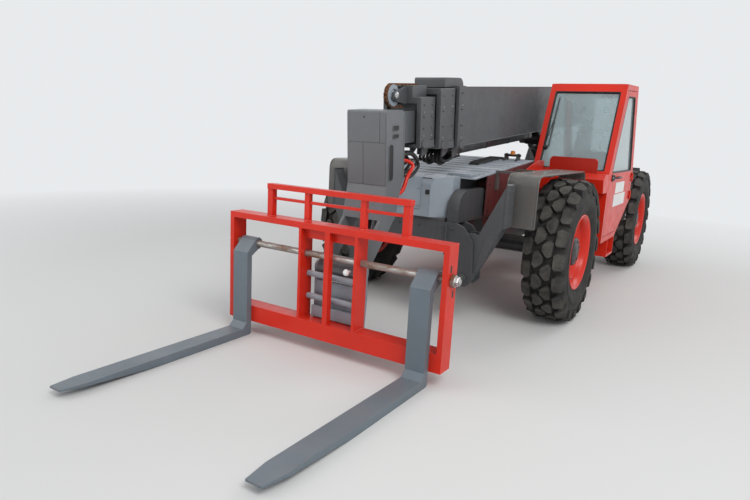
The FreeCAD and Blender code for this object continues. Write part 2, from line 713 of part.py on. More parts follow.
def make_boom_section(index):
    """Hollow boom section with its head collar and the wear pads it carries."""
    section = BOOM_SECTIONS[index]
    head, tail, width, low, high = section
    tube = section_box(section).cut(section_box(section, -BOOM_WALL, (1, 1)))
    parts = [tube]
    if index:
        outer = BOOM_SECTIONS[index - 1]
        room = section_box(outer, -BOOM_WALL - PAD_CLEARANCE)
        pad = block((tail + 30, tail + 30 + PAD_LENGTH), (-500, 500), (-500, 500)).common(room)
        parts.append(pad.cut(section_box(section, -BOOM_WALL / 2, (1, 1))))
        collar = block((outer[0] + HEAD_GAP, head), (-outer[2] / 2 + 8, outer[2] / 2 - 8),
                       (outer[3] + 8, collar_top(index)))
        if index < 3:
            parts.append(collar.cut(section_box(section, -BOOM_WALL / 2, (1, 1))))
    if index < 3:
        inner = BOOM_SECTIONS[index + 1]
        room = section_box(section, -BOOM_WALL / 2)
        pad = block((head - 30 - PAD_LENGTH, head - 30), (-500, 500), (-500, 500)).common(room)
        hole = block((head - 400, head + 1), (-inner[2] / 2 - PAD_CLEARANCE, inner[2] / 2 + PAD_CLEARANCE),
                     (inner[3] - PAD_CLEARANCE, inner[4] + PAD_CLEARANCE))
        parts.append(pad.cut(hole))
    return parts


def make_housing():
    """Arched housing on the head of the base."""
    low, front = BOOM_SECTIONS[0][4] - 1, HOUSING_FRONT
    rear, high = front - HOUSING_LENGTH, low + HOUSING_HEIGHT
    half = HOUSING_WIDTH / 2
    housing = side_plate([(rear, low), (front, low), (front, high), (rear, high)], (-half, half))
    return round_edges(housing, [(rear, high, HOUSING_HEIGHT - 2), (front, high, HOUSING_HEIGHT / 4)])


def sheave_place():
    return BOOM_SECTIONS[2][0] + SHEAVE_REACH, SHEAVE_N


def make_head_box():
    """Box on the third section's collar, its two plates and the sheave's pin."""
    head, low = BOOM_SECTIONS[2][0], collar_top(2) - 1
    s, n = sheave_place()
    high = n + SHEAVE_RADIUS + 2 - CHAIN_HEIGHT / 2 - SEAT_CLEARANCE
    half = HEAD_BOX_WIDTH / 2
    box = block((head - HEAD_BOX_LENGTH, head), (-half, half), (low, high))
    room = SHEAVE_WIDTH / 2 + 4
    plates = []
    for side in (-1, 1):
        outline = [(head - 60, low), (head - 60, high - 10), (head + 20, high - 10), (s + 36, n + 26),
                   (s + 36, n - 26), (s - 20, n - 46), (head - 10, low - 60)]
        plates.append(side_plate(outline, (side * room, side * (room + SHEAVE_PLATE))))
    pin = across(boss, s, n, (-room - SHEAVE_PLATE - 10, room + SHEAVE_PLATE + 10), SHEAVE_PIN_RADIUS)
    return [box, pin] + plates


def chain_link(index, s, n, turn):
    """One link: wide and narrow ones in turn, lying along the chain's path."""
    half = CHAIN_PITCH * 0.55
    width = CHAIN_WIDTH / 2 if index % 2 else CHAIN_WIDTH / 3
    height = CHAIN_HEIGHT / 2 if index % 2 else CHAIN_HEIGHT / 2 - 2
    link = block((-half, half), (-width, width), (-height, height))
    link.rotate(Vector(0, 0, 0), ACROSS, turn)
    return moved(link, x=s, z=n)


def make_chain_sheave():
    """Grooved sheave with the chain that lies on the box and goes half round it."""
    s, n = sheave_place()
    half, groove = SHEAVE_WIDTH / 2, SHEAVE_RADIUS - CHAIN_HEIGHT
    rim = SHEAVE_RADIUS
    wheel = spool([(-half, rim), (-half / 2, groove), (half / 2, groove), (half, rim)], SHEAVE_SIDES)
    wheel = moved(wheel, x=s, z=n)
    reach = SHEAVE_RADIUS + 2
    length = SHEAVE_REACH + HEAD_BOX_LENGTH - 20
    straight = int(length / CHAIN_PITCH)
    places = [(s - (straight - i) * CHAIN_PITCH, n + reach, 0.0) for i in range(straight)]
    step = CHAIN_PITCH / reach
    for i in range(int(math.pi / step) + 1):
        turn = i * step
        places.append((s + reach * math.sin(turn), n + reach * math.cos(turn), math.degrees(turn)))
    links = [chain_link(i, *place) for i, place in enumerate(places)]
    gear = fuse([wheel] + links)
    return on_boom(gear.cut(across(bore, s, n, (-100, 100), SHEAVE_PIN_RADIUS + SEAT_CLEARANCE)))


def make_boom_base():
    head, tail, width, low, high = BOOM_SECTIONS[0]
    parts = make_boom_section(0)
    frame_room = FRAME_HALF_WIDTH - FRAME_PLATE
    boss_end = frame_room - MOVING_GAP
    bosses = [across(boss, 0, 0, (side * (width / 2 - BOOM_WALL), side * boss_end), BOOM_PIN_RADIUS + 45)
              for side in (-1, 1)]
    collar = section_box(BOOM_SECTIONS[0], 12.0).cut(section_box(BOOM_SECTIONS[0], -1.0, (1, 1)))
    collar = collar.common(block((head - 150, head), (-500, 500), (-500, 500)))
    lugs = []
    for side in (-1, 1):
        y = (side * 105, side * 135)
        lug = side_plate([(LIFT_PIN_S - 260, low + 2), (LIFT_PIN_S + 260, low + 2),
                          (LIFT_PIN_S + 75, LIFT_PIN_N), (LIFT_PIN_S - 75, LIFT_PIN_N)], y)
        lugs += [lug, across(boss, LIFT_PIN_S, LIFT_PIN_N, (side * 105, side * 165), 75)]
    boom = fuse(parts + bosses + [collar, make_housing()] + lugs)
    return on_boom(boom.cut(across(bore, 0, 0, (-400, 400), BOOM_PIN_RADIUS + PIN_CLEARANCE)))


def make_nose():
    """Boom nose: a closed box in front with an open foot, and the neck's two plates."""
    s0 = BOOM_SECTIONS[-1][0]
    s1 = s0 + NOSE_DEPTH
    half = NOSE_WIDTH / 2
    box = block((s0, s1), (-half, half), (NOSE_BOTTOM, NOSE_TOP))
    box = round_edges(box, [(s0, NOSE_TOP, NOSE_ROUND), (s1, NOSE_TOP, NOSE_WALL)])
    hollow = block((s0 + NOSE_WALL, s1 - NOSE_WALL), (-half + NOSE_WALL, half - NOSE_WALL),
                   (NOSE_BOTTOM - 1, NOSE_TOP - NOSE_ROUND))
    shell = box.cut(hollow)
    ps, pn = boom_place(TILT_X, TILT_Z)
    neck_outline = [(s0, NOSE_BOTTOM + 60), (s1, NOSE_BOTTOM + 60), (s1, NOSE_BOTTOM),
                    (s1 + NECK_LEAN, NOSE_BOTTOM - 250), (ps + 60, pn + 40), (ps - 40, pn - 60),
                    (s0 + 120, NOSE_BOTTOM - 260)]
    plates = [side_plate(neck_outline, (side * (half - NECK_PLATE), side * half)) for side in (-1, 1)]
    lean = s1 + NECK_LEAN
    front = side_plate([(s1 - NOSE_WALL, NOSE_BOTTOM + 1), (s1, NOSE_BOTTOM + 1), (lean, NOSE_BOTTOM - 250),
                        (lean - NOSE_WALL, NOSE_BOTTOM - 250)], (-half, half))
    tube = across(boss, ps, pn, (-half, half), TILT_BOSS_RADIUS)
    bs, bn = boom_place(*TILT_BASE)
    bosses = [across(boss, bs, bn, (side * 62, side * half), 45) for side in (-1, 1)]
    pin = across(rod, bs, bn, (-half + 1, half - 1), TILT_EYE_PIN_RADIUS)
    nose = fuse([shell, front, tube, pin] + plates + bosses)
    return on_boom(nose.cut(across(rod, ps, pn, (-400, 400), TILT_PIN_RADIUS + PIN_CLEARANCE)))


# Cylinders
def make_cylinder(base, eye, barrel_radius, rod_radius, pin_radius, width, retract=0.0):
    """Barrel and rod between two (x, z) places, each with an eye square to the XZ plane."""
    start, end = Vector(base[0], 0, base[1]), Vector(eye[0], 0, eye[1])
    axis = (end - start).normalize()
    closed = (end - start).Length - retract
    eye_radius = pin_radius + 0.45 * barrel_radius
    gland = start + axis * (closed - eye_radius - 25)
    tail = end - axis * (closed - eye_radius - 50)
    pin = pin_radius + PIN_CLEARANCE
    barrel = fuse([boss(start + axis * (eye_radius * 0.7), gland, barrel_radius),
                   across(boss, *base, (-width / 2, width / 2), eye_radius)])
    room = bore(start + axis * (eye_radius + 30), gland + axis, rod_radius + PIN_CLEARANCE)
    barrel = barrel.cut([room, across(bore, *base, (-width, width), pin)])
    piston = fuse([boss(tail, end - axis * (eye_radius * 0.7), rod_radius),
                   across(boss, *eye, (-width / 2, width / 2), eye_radius)])
    return barrel, piston.cut(across(bore, *eye, (-width, width), pin))


def lift_ends():
    pin = boom_point(LIFT_PIN_S, LIFT_PIN_N)
    return (-WHEELBASE - LIFT_BASE_BEHIND_AXLE, LIFT_BASE_HEIGHT), (pin.x, pin.z)


def tilt_ends():
    return TILT_BASE, (TILT_X + TILT_LEVER[0], TILT_Z + TILT_LEVER[1])


def make_lift_foot():
    """Pin and cheeks on the frame for the lift cylinder's base."""
    (x, z), _ = lift_ends()
    reach = FRAME_HALF_WIDTH - FRAME_PLATE
    pin = across(rod, x, z, (-reach + 1, reach - 1), LIFT_PIN_RADIUS)
    sleeves = [across(boss, x, z, (side * 105, side * (reach - SEAT_CLEARANCE)), LIFT_PIN_RADIUS + 30)
               for side in (-1, 1)]
    return fuse([pin] + sleeves)


# Carriage
def make_carriage():
    back, front = CARRIAGE_FRONT - CARRIAGE_DEPTH, CARRIAGE_FRONT
    half = CARRIAGE_WIDTH / 2
    low_top = CARRIAGE_BOTTOM + LOW_BEAM_HEIGHT
    parts = []
    for side in (-1, 1):
        outline = [(back, CARRIAGE_BOTTOM + 30), (back + 30, CARRIAGE_BOTTOM), (front, CARRIAGE_BOTTOM),
                   (front, CARRIAGE_TOP), (back, CARRIAGE_TOP)]
        parts.append(side_plate(outline, (side * (half - CARRIAGE_PLATE), side * half)))
        centre = side * CENTRE_PLATE_Y
        parts.append(block((back, front), (centre - 12, centre + 12), (CARRIAGE_BOTTOM + 1, CARRIAGE_TOP)))
        post = side * (BACKREST_WIDTH / 2 - BACKREST_TUBE / 2)
        heights = (CARRIAGE_TOP - 1, BACKREST_TOP)
        parts.append(block((back + 30, back + 80), (post - 25, post + 25), heights))
        parts.append(block((back + 30, back + 70), (centre - 22, centre + 22), heights))
    parts.append(block((back, front), (-half, half), (CARRIAGE_TOP - CARRIAGE_BEAM, CARRIAGE_TOP)))
    parts.append(block((back, front), (-half, half), (CARRIAGE_BOTTOM, low_top)))
    parts.append(block((back + 60, back + 90), (-CENTRE_PLATE_Y, CENTRE_PLATE_Y), (855, CARRIAGE_TOP)))
    parts.append(block((front - 50, front), (-22, 22), (low_top - 1, CARRIAGE_TOP - 1)))
    width = BACKREST_WIDTH / 2
    parts.append(block((back + 20, back + 85), (-width, width), (BACKREST_TOP - 40, BACKREST_TOP)))
    parts.append(block((back + 40, back + 62), (-width, width), (1100, 1122)))
    carriage = fuse(parts)
    hole = across(bore, SHAFT_X, SHAFT_HEIGHT, (-half - 5, half + 5), SHAFT_RADIUS + SEAT_CLEARANCE)
    return carriage.cut(hole)


def make_shaft():
    half = CARRIAGE_WIDTH / 2
    bar = across(rod, SHAFT_X, SHAFT_HEIGHT, (-half - 1, half + 1), SHAFT_RADIUS)
    collars = [across(boss, SHAFT_X, SHAFT_HEIGHT, (side * (half + SEAT_CLEARANCE), side * (half + 26)), 44)
               for side in (-1, 1)]
    return fuse([bar] + collars)


def make_fork(y):
    """L-shaped fork: blade tapering to its tip, shank and the eye around the shaft."""
    back = FORK_FACE - FORK_SHANK
    tip = FORK_FACE + FORK_LENGTH
    half = FORK_WIDTH / 2
    outline = [(back, 12), (back + 12, 0), (tip - FORK_TAPER, 0), (tip, FORK_THICKNESS - FORK_TIP),
               (tip, FORK_THICKNESS), (FORK_FACE + 45, FORK_THICKNESS), (FORK_FACE, FORK_THICKNESS + 45),
               (FORK_FACE, SHAFT_HEIGHT - 60), (SHAFT_X + 25, SHAFT_HEIGHT + 40),
               (SHAFT_X, SHAFT_HEIGHT - 48), (back, SHAFT_HEIGHT - 90)]
    bar = side_plate(outline, (y - half, y + half))
    blunt, start = FORK_TIP_WIDTH / 2, tip - FORK_TIP_TAPER
    taper = flat_plate([(SHAFT_X - 100, -half), (start, -half), (tip, -blunt), (tip, blunt),
                        (start, half), (SHAFT_X - 100, half)], (-5, SHAFT_HEIGHT + 100))
    bar = bar.common(moved(taper, y=y))
    eye = across(boss, SHAFT_X, SHAFT_HEIGHT, (y - half, y + half), FORK_EYE_RADIUS)
    hole = across(bore, SHAFT_X, SHAFT_HEIGHT, (y - half - 5, y + half + 5), SHAFT_RADIUS + SEAT_CLEARANCE)
    return fuse([bar, eye]).cut(hole)


def make_coupler():
    """Quick coupler between the boom's nose and the carriage."""
    neck = NOSE_WIDTH / 2
    ear = (neck + 5, neck + 29)
    back = CARRIAGE_FRONT - CARRIAGE_DEPTH
    lx, lz = TILT_X + TILT_LEVER[0], TILT_Z + TILT_LEVER[1]
    parts = [across(boss, TILT_X, TILT_Z, (-ear[1] - 6, ear[1] + 6), TILT_PIN_RADIUS)]
    for side in (-1, 1):
        y = (side * ear[0], side * ear[1])
        ear_outline = [(TILT_X - 50, TILT_Z), (TILT_X + 50, TILT_Z), (back - SEAT_CLEARANCE, TILT_Z - 60),
                       (back - SEAT_CLEARANCE, 150), (back - 90, 150), (TILT_X - 60, TILT_Z - 200)]
        parts.append(side_plate(ear_outline, y))
        parts.append(across(boss, TILT_X, TILT_Z, y, 62))
        lever = (side * 60, side * 84)
        parts.append(side_plate([(back - 20, TILT_Z - 110), (back - 20, 160), (back - 80, 160),
                                 (lx - 35, lz - 20), (lx - 20, lz + 38)], lever))
        parts.append(across(boss, lx, lz, (side * 60, side * 100), 45))
    parts.append(block((back - 24, back - SEAT_CLEARANCE), (-ear[1], ear[1]), (150, TILT_Z - 95)))
    return fuse(parts)


# Stabilisers
def make_leg():
    """Left stabiliser folded up beside the frame's nose: a box arm, open where its cylinder works."""
    (py, pz), (cy, cz) = LEG_PIVOT, LEG_CYLINDER_PIN
    (low_y, low_z), (high_y, high_z) = LEG_SOLE
    x0, x1 = LEG_BACK, LEG_BACK + LEG_DEPTH
    arm = end_plate([(py - 45, pz - 25), (py + 45, pz - 35), (low_y, low_z), (high_y, high_z),
                     (cy + 85, cz + 35), (cy + 40, cz + 45), (cy - 40, cz + 45), (cy - 45, cz)], (x0, x1))
    root = boss(Vector(x0, py, pz), Vector(x1, py, pz), 58)
    sole = end_plate([(low_y, low_z - 15), (low_y + 22, low_z - 5), (high_y + 22, high_z + 5),
                      (high_y, high_z + 15)], (x0 - 5, x1 + 5))
    wall = LEG_WALL
    slot = end_plate([(py - 140, pz - 90), (py + 15, pz - 90), (py + 15, pz + 30), (cy + 185, cz + 15),
                      (cy + 185, cz + 115), (cy - 160, cz + 115)], (x0 + wall, x1 - wall))
    pins = [bore(Vector(x0 - 60, y, z), Vector(x1 + 60, y, z), radius + PIN_CLEARANCE)
            for y, z, radius in ((py, pz, LEG_PIN_RADIUS), (cy, cz, LEG_EYE_PIN_RADIUS))]
    return fuse([arm, root, sole]).cut([slot] + pins)


def make_leg_pin(side):
    """Pin of a stabiliser, held in the brackets."""
    x0, x1 = LEG_BACK - MOVING_GAP - 30, LEG_BACK + LEG_DEPTH + MOVING_GAP + 30
    y, z = LEG_PIVOT
    return rod(Vector(x0, side * y, z), Vector(x1, side * y, z), LEG_PIN_RADIUS)


# Cab
def cab_outline(inset=0.0):
    """Side view of the cab, taken in by a wall."""
    t = inset
    return [(CAB_FRONT - t, CAB_FLOOR + t), (CAB_FRONT - t, CAB_WAIST + t * 0.2),
            (CAB_ROOF_FRONT - t * 0.85, CAB_ROOF - t),
            (CAB_ROOF_REAR + t * 0.9, CAB_ROOF + CAB_ROOF_RISE - t),
            (CAB_REAR + t, CAB_WAIST), (CAB_REAR + t, 980),
            (CAB_REAR + 700, CAB_FLOOR + t)]


def door_hinges(half):
    """The fixed (0) or moving (1) halves of the door's hinges."""
    x = CAB_REAR + CAB_PILLAR + DOOR_GAP / 2
    return [place_hinge(make_hinge()[half], Vector(x, CAB_OUTER + HINGE_RISE, z), ALONG, ACROSS)
            for z in DOOR_HINGE_HEIGHTS]


def window_openings(gap=0.0):
    """Tools for the openings of the windscreen, the rear window, the roof and the side towards the boom."""
    inner_y = (CAB_INNER + CAB_PILLAR + gap, CAB_OUTER - CAB_PILLAR - gap)
    sill, top = CAB_WAIST + 40 + gap, CAB_ROOF - 80 - gap
    windscreen = side_plate([(CAB_FRONT + 60, sill), (CAB_ROOF_FRONT + 120, top + 10),
                             (CAB_ROOF_FRONT - 60, top - 20), (CAB_FRONT - 120, sill)], inner_y)
    rear = side_plate([(CAB_REAR - 40, sill), (CAB_ROOF_REAR - 80, top), (CAB_ROOF_REAR + 80, top),
                       (CAB_REAR + 120, sill)], inner_y)
    boom_side = side_plate([(CAB_FRONT - 160 - gap, sill), (CAB_ROOF_FRONT - 80 - gap, top),
                            (CAB_ROOF_REAR + 60 + gap, top), (CAB_REAR + 150 + gap, sill)],
                           (CAB_INNER - 5, CAB_INNER + CAB_WALL + 5))
    roof = block((CAB_ROOF_REAR + 100 + gap, CAB_ROOF_FRONT - 90 - gap), inner_y,
                 (CAB_ROOF - 80, CAB_ROOF + 80))
    return windscreen, rear, roof, boom_side


def roof_bars():
    """Guard bars along the roof's opening, flush with the roof."""
    width, height = ROOF_BAR
    ends = (CAB_ROOF_REAR + 95, CAB_ROOF_FRONT - 85)
    slope = CAB_ROOF_RISE / (CAB_ROOF_FRONT - CAB_ROOF_REAR)
    heights = [CAB_ROOF + (CAB_ROOF_FRONT - x) * slope - 2 for x in ends]
    outline = [(ends[0], heights[0]), (ends[1], heights[1]), (ends[1], heights[1] - height),
               (ends[0], heights[0] - height)]
    first = CAB_INNER + CAB_PILLAR
    pitch = (CAB_OUTER - CAB_PILLAR - first) / (ROOF_BARS + 1)
    centres = [first + pitch * (i + 1) for i in range(ROOF_BARS)]
    return [side_plate(outline, (y - width / 2, y + width / 2)) for y in centres]


def make_cab():
    """Hollow cab shell with its window openings, the doorway and the door's hinge pins."""
    shell = side_plate(cab_outline(), (CAB_INNER, CAB_OUTER))
    room = side_plate(cab_outline(CAB_WALL), (CAB_INNER + CAB_WALL, CAB_OUTER - CAB_WALL))
    doorway = side_plate(cab_outline(CAB_PILLAR), (CAB_OUTER - CAB_WALL - 5, CAB_OUTER + 5))
    shell = shell.cut([room, doorway] + list(window_openings()))
    return fuse([shell] + roof_bars() + door_hinges(0))


def make_cab_glass():
    """Panes of the windscreen, the rear window, the roof and the side towards the boom."""
    outer, inner = (CAB_WALL - GLASS) / 2, (CAB_WALL + GLASS) / 2
    wide = (CAB_INNER, CAB_OUTER)
    skin = side_plate(cab_outline(outer), wide).cut(side_plate(cab_outline(inner), wide))
    side = block((CAB_REAR, CAB_FRONT), (CAB_INNER + outer, CAB_INNER + inner), (CAB_FLOOR, CAB_ROOF))
    windscreen, rear, roof, boom_side = window_openings(SEAT_CLEARANCE)
    panes = [skin.common(tool) for tool in (windscreen, rear, roof)] + [side.common(boom_side)]
    return [pane.Solids[0] for pane in panes]


def door_window(gap):
    """Side view of the door's window, taken in by a gap."""
    sill = CAB_WAIST + 20 + gap
    return [(CAB_FRONT - 150 - gap, sill), (CAB_ROOF_FRONT - 115 - gap, CAB_ROOF - 120 - gap),
            (CAB_ROOF_REAR + 115 + gap, CAB_ROOF - 100 - gap), (CAB_REAR + 145 + gap, sill)]


def make_door():
    y = (CAB_OUTER - CAB_WALL, CAB_OUTER)
    panel = side_plate(cab_outline(CAB_PILLAR + DOOR_GAP), y)
    window = side_plate(door_window(0.0), (y[0] - 5, y[1] + 5))
    return fuse([panel.cut(window)] + door_hinges(1))


def make_door_glass():
    y = CAB_OUTER - CAB_WALL / 2
    return side_plate(door_window(SEAT_CLEARANCE), (y - GLASS / 2, y + GLASS / 2))


def make_cowl():
    """Cowl in front of the cab with an upright plate on it, and a wing along the deck's side panel."""
    back = CAB_FRONT + SEAT_CLEARANCE
    cowl = side_plate([(back, COWL_LOW), (COWL_FRONT - 40, COWL_LOW), (COWL_FRONT, COWL_LOW + 140),
                       (COWL_FRONT - 80, COWL_LOW + 195), (back, CAB_WAIST + 10)], (CAB_INNER, CAB_OUTER))
    left, right = COWL_PLATE_Y
    low, top, corner = CAB_WAIST - 40, COWL_PLATE_TOP, 30
    plate = end_plate([(left, low), (right, low), (right, top - corner), (right - corner, top),
                       (left + corner, top), (left, top - corner)],
                      (COWL_PLATE_X, COWL_PLATE_X + COWL_SHEET))
    inner = DECK_WIDTH / 2 + FENDER_FOOT + 1
    wing = side_plate([(back, CAB_WAIST - 30), (back, CAB_WAIST + 110), (COWL_FRONT, CAB_WAIST + 110),
                       (WING_TIP, DECK_HEIGHT - 28), (WING_TIP, DECK_HEIGHT - 55),
                       (COWL_FRONT - 20, COWL_LOW + 50)], (inner, inner + COWL_SHEET))
    return fuse([cowl, plate, wing])


def make_step():
    y = (CAB_OUTER - STEP_DEPTH, CAB_OUTER)
    plate = block((-1760, -1420), y, (395, 420))
    hangers = [block((x, x + 14), y, (395, CAB_FLOOR - SEAT_CLEARANCE)) for x in (-1760, -1434)]
    return fuse([plate] + hangers)


def make_seat():
    base = block((-1720, -1500), (640, 990), (CAB_FLOOR + CAB_WALL + SEAT_CLEARANCE, 900))
    cushion = block((-1990, -1480), (580, 1050), (899, 1010))
    back = side_plate([(-2060, 960), (-1950, 960), (-2030, 1560), (-2120, 1560)], (600, 1030))
    return fuse([base, cushion, back])


def make_console():
    """Dash with the steering column and wheel."""
    dash = block((-1240, -1090), (CAB_INNER + CAB_WALL + 20, CAB_OUTER - CAB_WALL - 20),
                 (CAB_FLOOR + CAB_WALL + SEAT_CLEARANCE, 1250))
    foot, centre = Vector(-1200, 815, 1150), Vector(-1420, 815, 1420)
    axis = (centre - foot).normalize()
    wheel = boss(centre, centre + axis * 22, 180).cut(boss(centre - axis, centre + axis * 23, 155))
    spoke = boss(Vector(centre.x, centre.y - 165, centre.z), Vector(centre.x, centre.y + 165, centre.z), 10)
    return fuse([dash, boss(foot, centre, 28), wheel, spoke])


# Engine pod
def pod_outline(t=0.0):
    """Cross-section of the pod, seen along the machine."""
    inner, outer = -POD_INNER - t, -POD_OUTER + t
    return [(inner, POD_FLOOR + t), (outer + 60, POD_FLOOR + t), (outer, POD_FLOOR + 80),
            (outer, POD_TOP - 140), (outer + 120, POD_TOP - t), (inner, POD_TOP - t)]


def lid_hinges(half):
    """The fixed (0) or moving (1) halves of the lid's hinges, on top of the pod's inner wall."""
    y = -POD_INNER - POD_WALL - LID_GAP / 2
    return [place_hinge(make_hinge()[half], Vector(POD_REAR + x, y, POD_TOP + HINGE_RISE), -ACROSS, UP)
            for x in LID_HINGE_ENDS]


def pod_louvres():
    """Tools for the air slots in the pod's rear end."""
    y = (-POD_OUTER + 110, -POD_INNER - 110)
    x = (POD_REAR - 5, POD_REAR + POD_WALL + 5)
    first = POD_RIM - 60 - POD_LOUVRES * POD_LOUVRE_PITCH
    return [block(x, y, (first + i * POD_LOUVRE_PITCH, first + i * POD_LOUVRE_PITCH + POD_LOUVRE_SLOT))
            for i in range(POD_LOUVRES)]


def make_pod(lid):
    """Pod below its lid, or the lid itself, each with its halves of the hinges."""
    shell = end_plate(pod_outline(), (POD_REAR, POD_FRONT))
    room = end_plate(pod_outline(POD_WALL), (POD_REAR + POD_WALL, POD_FRONT - POD_WALL))
    shell = shell.cut(room)
    edge = -POD_INNER - POD_WALL - LID_GAP
    keep = block((POD_REAR - 5, POD_FRONT + 5), (-POD_OUTER - 5, edge), (POD_RIM + LID_GAP, POD_TOP + 5))
    if lid:
        return fuse([shell.common(keep)] + lid_hinges(1))
    room = block((POD_REAR - 5, POD_FRONT + 5), (-POD_OUTER - 5, edge + LID_GAP), (POD_RIM, POD_TOP + 5))
    return fuse([shell.cut([room] + pod_louvres())] + lid_hinges(0))


def make_pod_brackets():
    y = (-FRAME_HALF_WIDTH - SEAT_CLEARANCE, -POD_INNER + SEAT_CLEARANCE)
    return fuse([block((x, x + 80), y, (700, 1000)) for x in (-1000, -2300)])


def make_cab_mount():
    y = (FRAME_HALF_WIDTH + SEAT_CLEARANCE, CAB_INNER - SEAT_CLEARANCE)
    return [block((x, x + 120), y, (640, 1000)) for x in (-1400, -2300)]


def make_engine():
    return block((-2350, -1100), (-1080, -520), (POD_FLOOR + POD_WALL + SEAT_CLEARANCE, 1250))


# Assembly
def wheel_pieces():
    """Tyre, rim and knuckle at the four corners."""
    tyre, rim = make_tyre(), make_rim()
    pieces = {}
    for axle, x in (("front", 0.0), ("rear", -WHEELBASE)):
        tyre_here = moved(tyre, x, WHEEL_Y, TYRE_RADIUS)
        rim_here = moved(rim, x, WHEEL_Y, TYRE_RADIUS)
        knuckle = make_knuckle(x)
        for side in ("left", "right"):
            pieces[f"tyre_{axle}_{side}"] = on_side(tyre_here, side)
            pieces[f"rim_{axle}_{side}"] = on_side(rim_here, side)
            pieces[f"knuckle_{axle}_{side}"] = on_side(knuckle, side)
        pieces[f"axle_{axle}"] = make_axle(x)
    return pieces


def stabiliser_pieces():
    """Legs with their cylinders, which cross behind the frame's front plate."""
    leg = make_leg()
    pieces = {"leg_left": leg, "leg_right": mirror(leg), "leg_pins": [make_leg_pin(1), make_leg_pin(-1)]}
    for side, hand in (("left", 1), ("right", -1)):
        x = leg_cylinder_x(hand)
        barrel, piston = make_cylinder(LEG_CYLINDER_BASE, LEG_CYLINDER_PIN, LEG_BARREL_RADIUS,
                                       LEG_ROD_RADIUS, LEG_EYE_PIN_RADIUS, LEG_EYE_WIDTH)
        for name, shape in (("barrel", barrel), ("rod", piston)):
            turned = shape.copy()
            turned.rotate(Vector(0, 0, 0), UP, 90)
            pieces[f"leg_{name}_{side}"] = on_side(moved(turned, x=x), side)
    return pieces


def boom_pieces():
    pieces = {"boom_base": make_boom_base()}
    for index in (1, 2, 3):
        gear = make_head_box() if index == 2 else []
        pieces[f"boom_section_{index + 1}"] = on_boom(fuse(make_boom_section(index) + gear))
    pieces["chain_sheave"] = make_chain_sheave()
    pieces["boom_nose"] = make_nose()
    pieces["boom_pin"] = make_boom_pin()
    pieces["lift_barrel"], pieces["lift_rod"] = make_cylinder(
        *lift_ends(), LIFT_BARREL_RADIUS, LIFT_ROD_RADIUS, LIFT_PIN_RADIUS, 200)
    pieces["lift_foot"] = make_lift_foot()
    pieces["tilt_barrel"], pieces["tilt_rod"] = make_cylinder(
        *tilt_ends(), TILT_BARREL_RADIUS, TILT_ROD_RADIUS, TILT_EYE_PIN_RADIUS, 100, TILT_RETRACT)
    return pieces


def carriage_pieces():
    return {
        "carriage": make_carriage(),
        "fork_shaft": make_shaft(),
        "coupler": make_coupler(),
        "fork_left": make_fork(FORK_SPACING / 2),
        "fork_right": make_fork(-FORK_SPACING / 2),
    }


def cab_pieces():
    return {
        "cab": make_cab(),
        "cab_glass": make_cab_glass(),
        "cab_door": make_door(),
        "door_glass": make_door_glass(),
        "cowl": make_cowl(),
        "cab_step": make_step(),
        "cab_mounts": make_cab_mount(),
        "seat": make_seat(),
        "console": make_console(),
    }


def chassis_pieces():
    fender, cheek, panel = make_fender(), make_cheek(), make_side_panel()
    return {
        "frame": make_frame(),
        "counterweight": make_counterweight(),
        "front_cover": make_front_cover(),
        "leg_house": make_leg_house(),
        "cheeks": [cheek, mirror(cheek)],
        "side_panels": [panel, mirror(panel)],
        "fenders": [fender, mirror(fender)],
        "engine_pod": make_pod(False),
        "engine_lid": make_pod(True),
        "pod_brackets": make_pod_brackets(),
        "engine": make_engine(),
    }


def build():
    pieces = {}
    for group in (wheel_pieces, chassis_pieces, stabiliser_pieces, boom_pieces, carriage_pieces, cab_pieces):
        pieces.update(group())
    placed = {}
    for name, shape in pieces.items():
        solids = shape if isinstance(shape, list) else [shape]
        solids = [moved(solid, x=-MIDDLE) for solid in solids]
        placed[name] = solids[0] if len(solids) == 1 else Part.makeCompound(solids)
    return placed


def main():
    os.makedirs("parts", exist_ok=True)
    for name, shape in build().items():
        shape.exportStep(os.path.join("parts", f"{name}.step"))


if __name__ == "__main__":
    main()
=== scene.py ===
import math

import bpy
import numpy as np
from mathutils import Matrix, Vector


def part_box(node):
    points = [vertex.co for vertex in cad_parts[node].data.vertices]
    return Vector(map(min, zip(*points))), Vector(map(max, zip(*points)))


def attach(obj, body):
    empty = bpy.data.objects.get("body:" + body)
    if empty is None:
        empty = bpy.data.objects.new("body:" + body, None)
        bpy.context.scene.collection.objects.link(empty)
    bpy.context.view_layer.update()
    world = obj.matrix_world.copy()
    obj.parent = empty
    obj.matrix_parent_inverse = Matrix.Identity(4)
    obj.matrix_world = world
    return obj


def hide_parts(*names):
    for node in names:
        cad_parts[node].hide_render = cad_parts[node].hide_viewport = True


bl_info = {
    "name": "Telehandler dressing",
    "version": (1, 0, 0),
    "blender": (4, 5, 0),
    "location": "View3D > Sidebar > Telehandler",
    "description": "Dresses a packed telehandler with tyres, cylinders, chain, seals, seat, bolts and paint",
    "category": "Object",
}

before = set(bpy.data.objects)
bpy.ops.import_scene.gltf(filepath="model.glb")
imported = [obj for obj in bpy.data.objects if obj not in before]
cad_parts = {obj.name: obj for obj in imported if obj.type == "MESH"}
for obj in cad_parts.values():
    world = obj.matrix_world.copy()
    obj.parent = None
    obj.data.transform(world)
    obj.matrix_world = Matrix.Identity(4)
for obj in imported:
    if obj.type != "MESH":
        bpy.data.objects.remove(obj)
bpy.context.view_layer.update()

TURN = 2 * math.pi
SIDES = {"left": 1.0, "right": -1.0}
CORNERS = [(end, side) for end in ("front", "rear") for side in SIDES]
X_AXIS, Y_AXIS, Z_AXIS = np.eye(3)
ORIGIN = np.zeros(3)

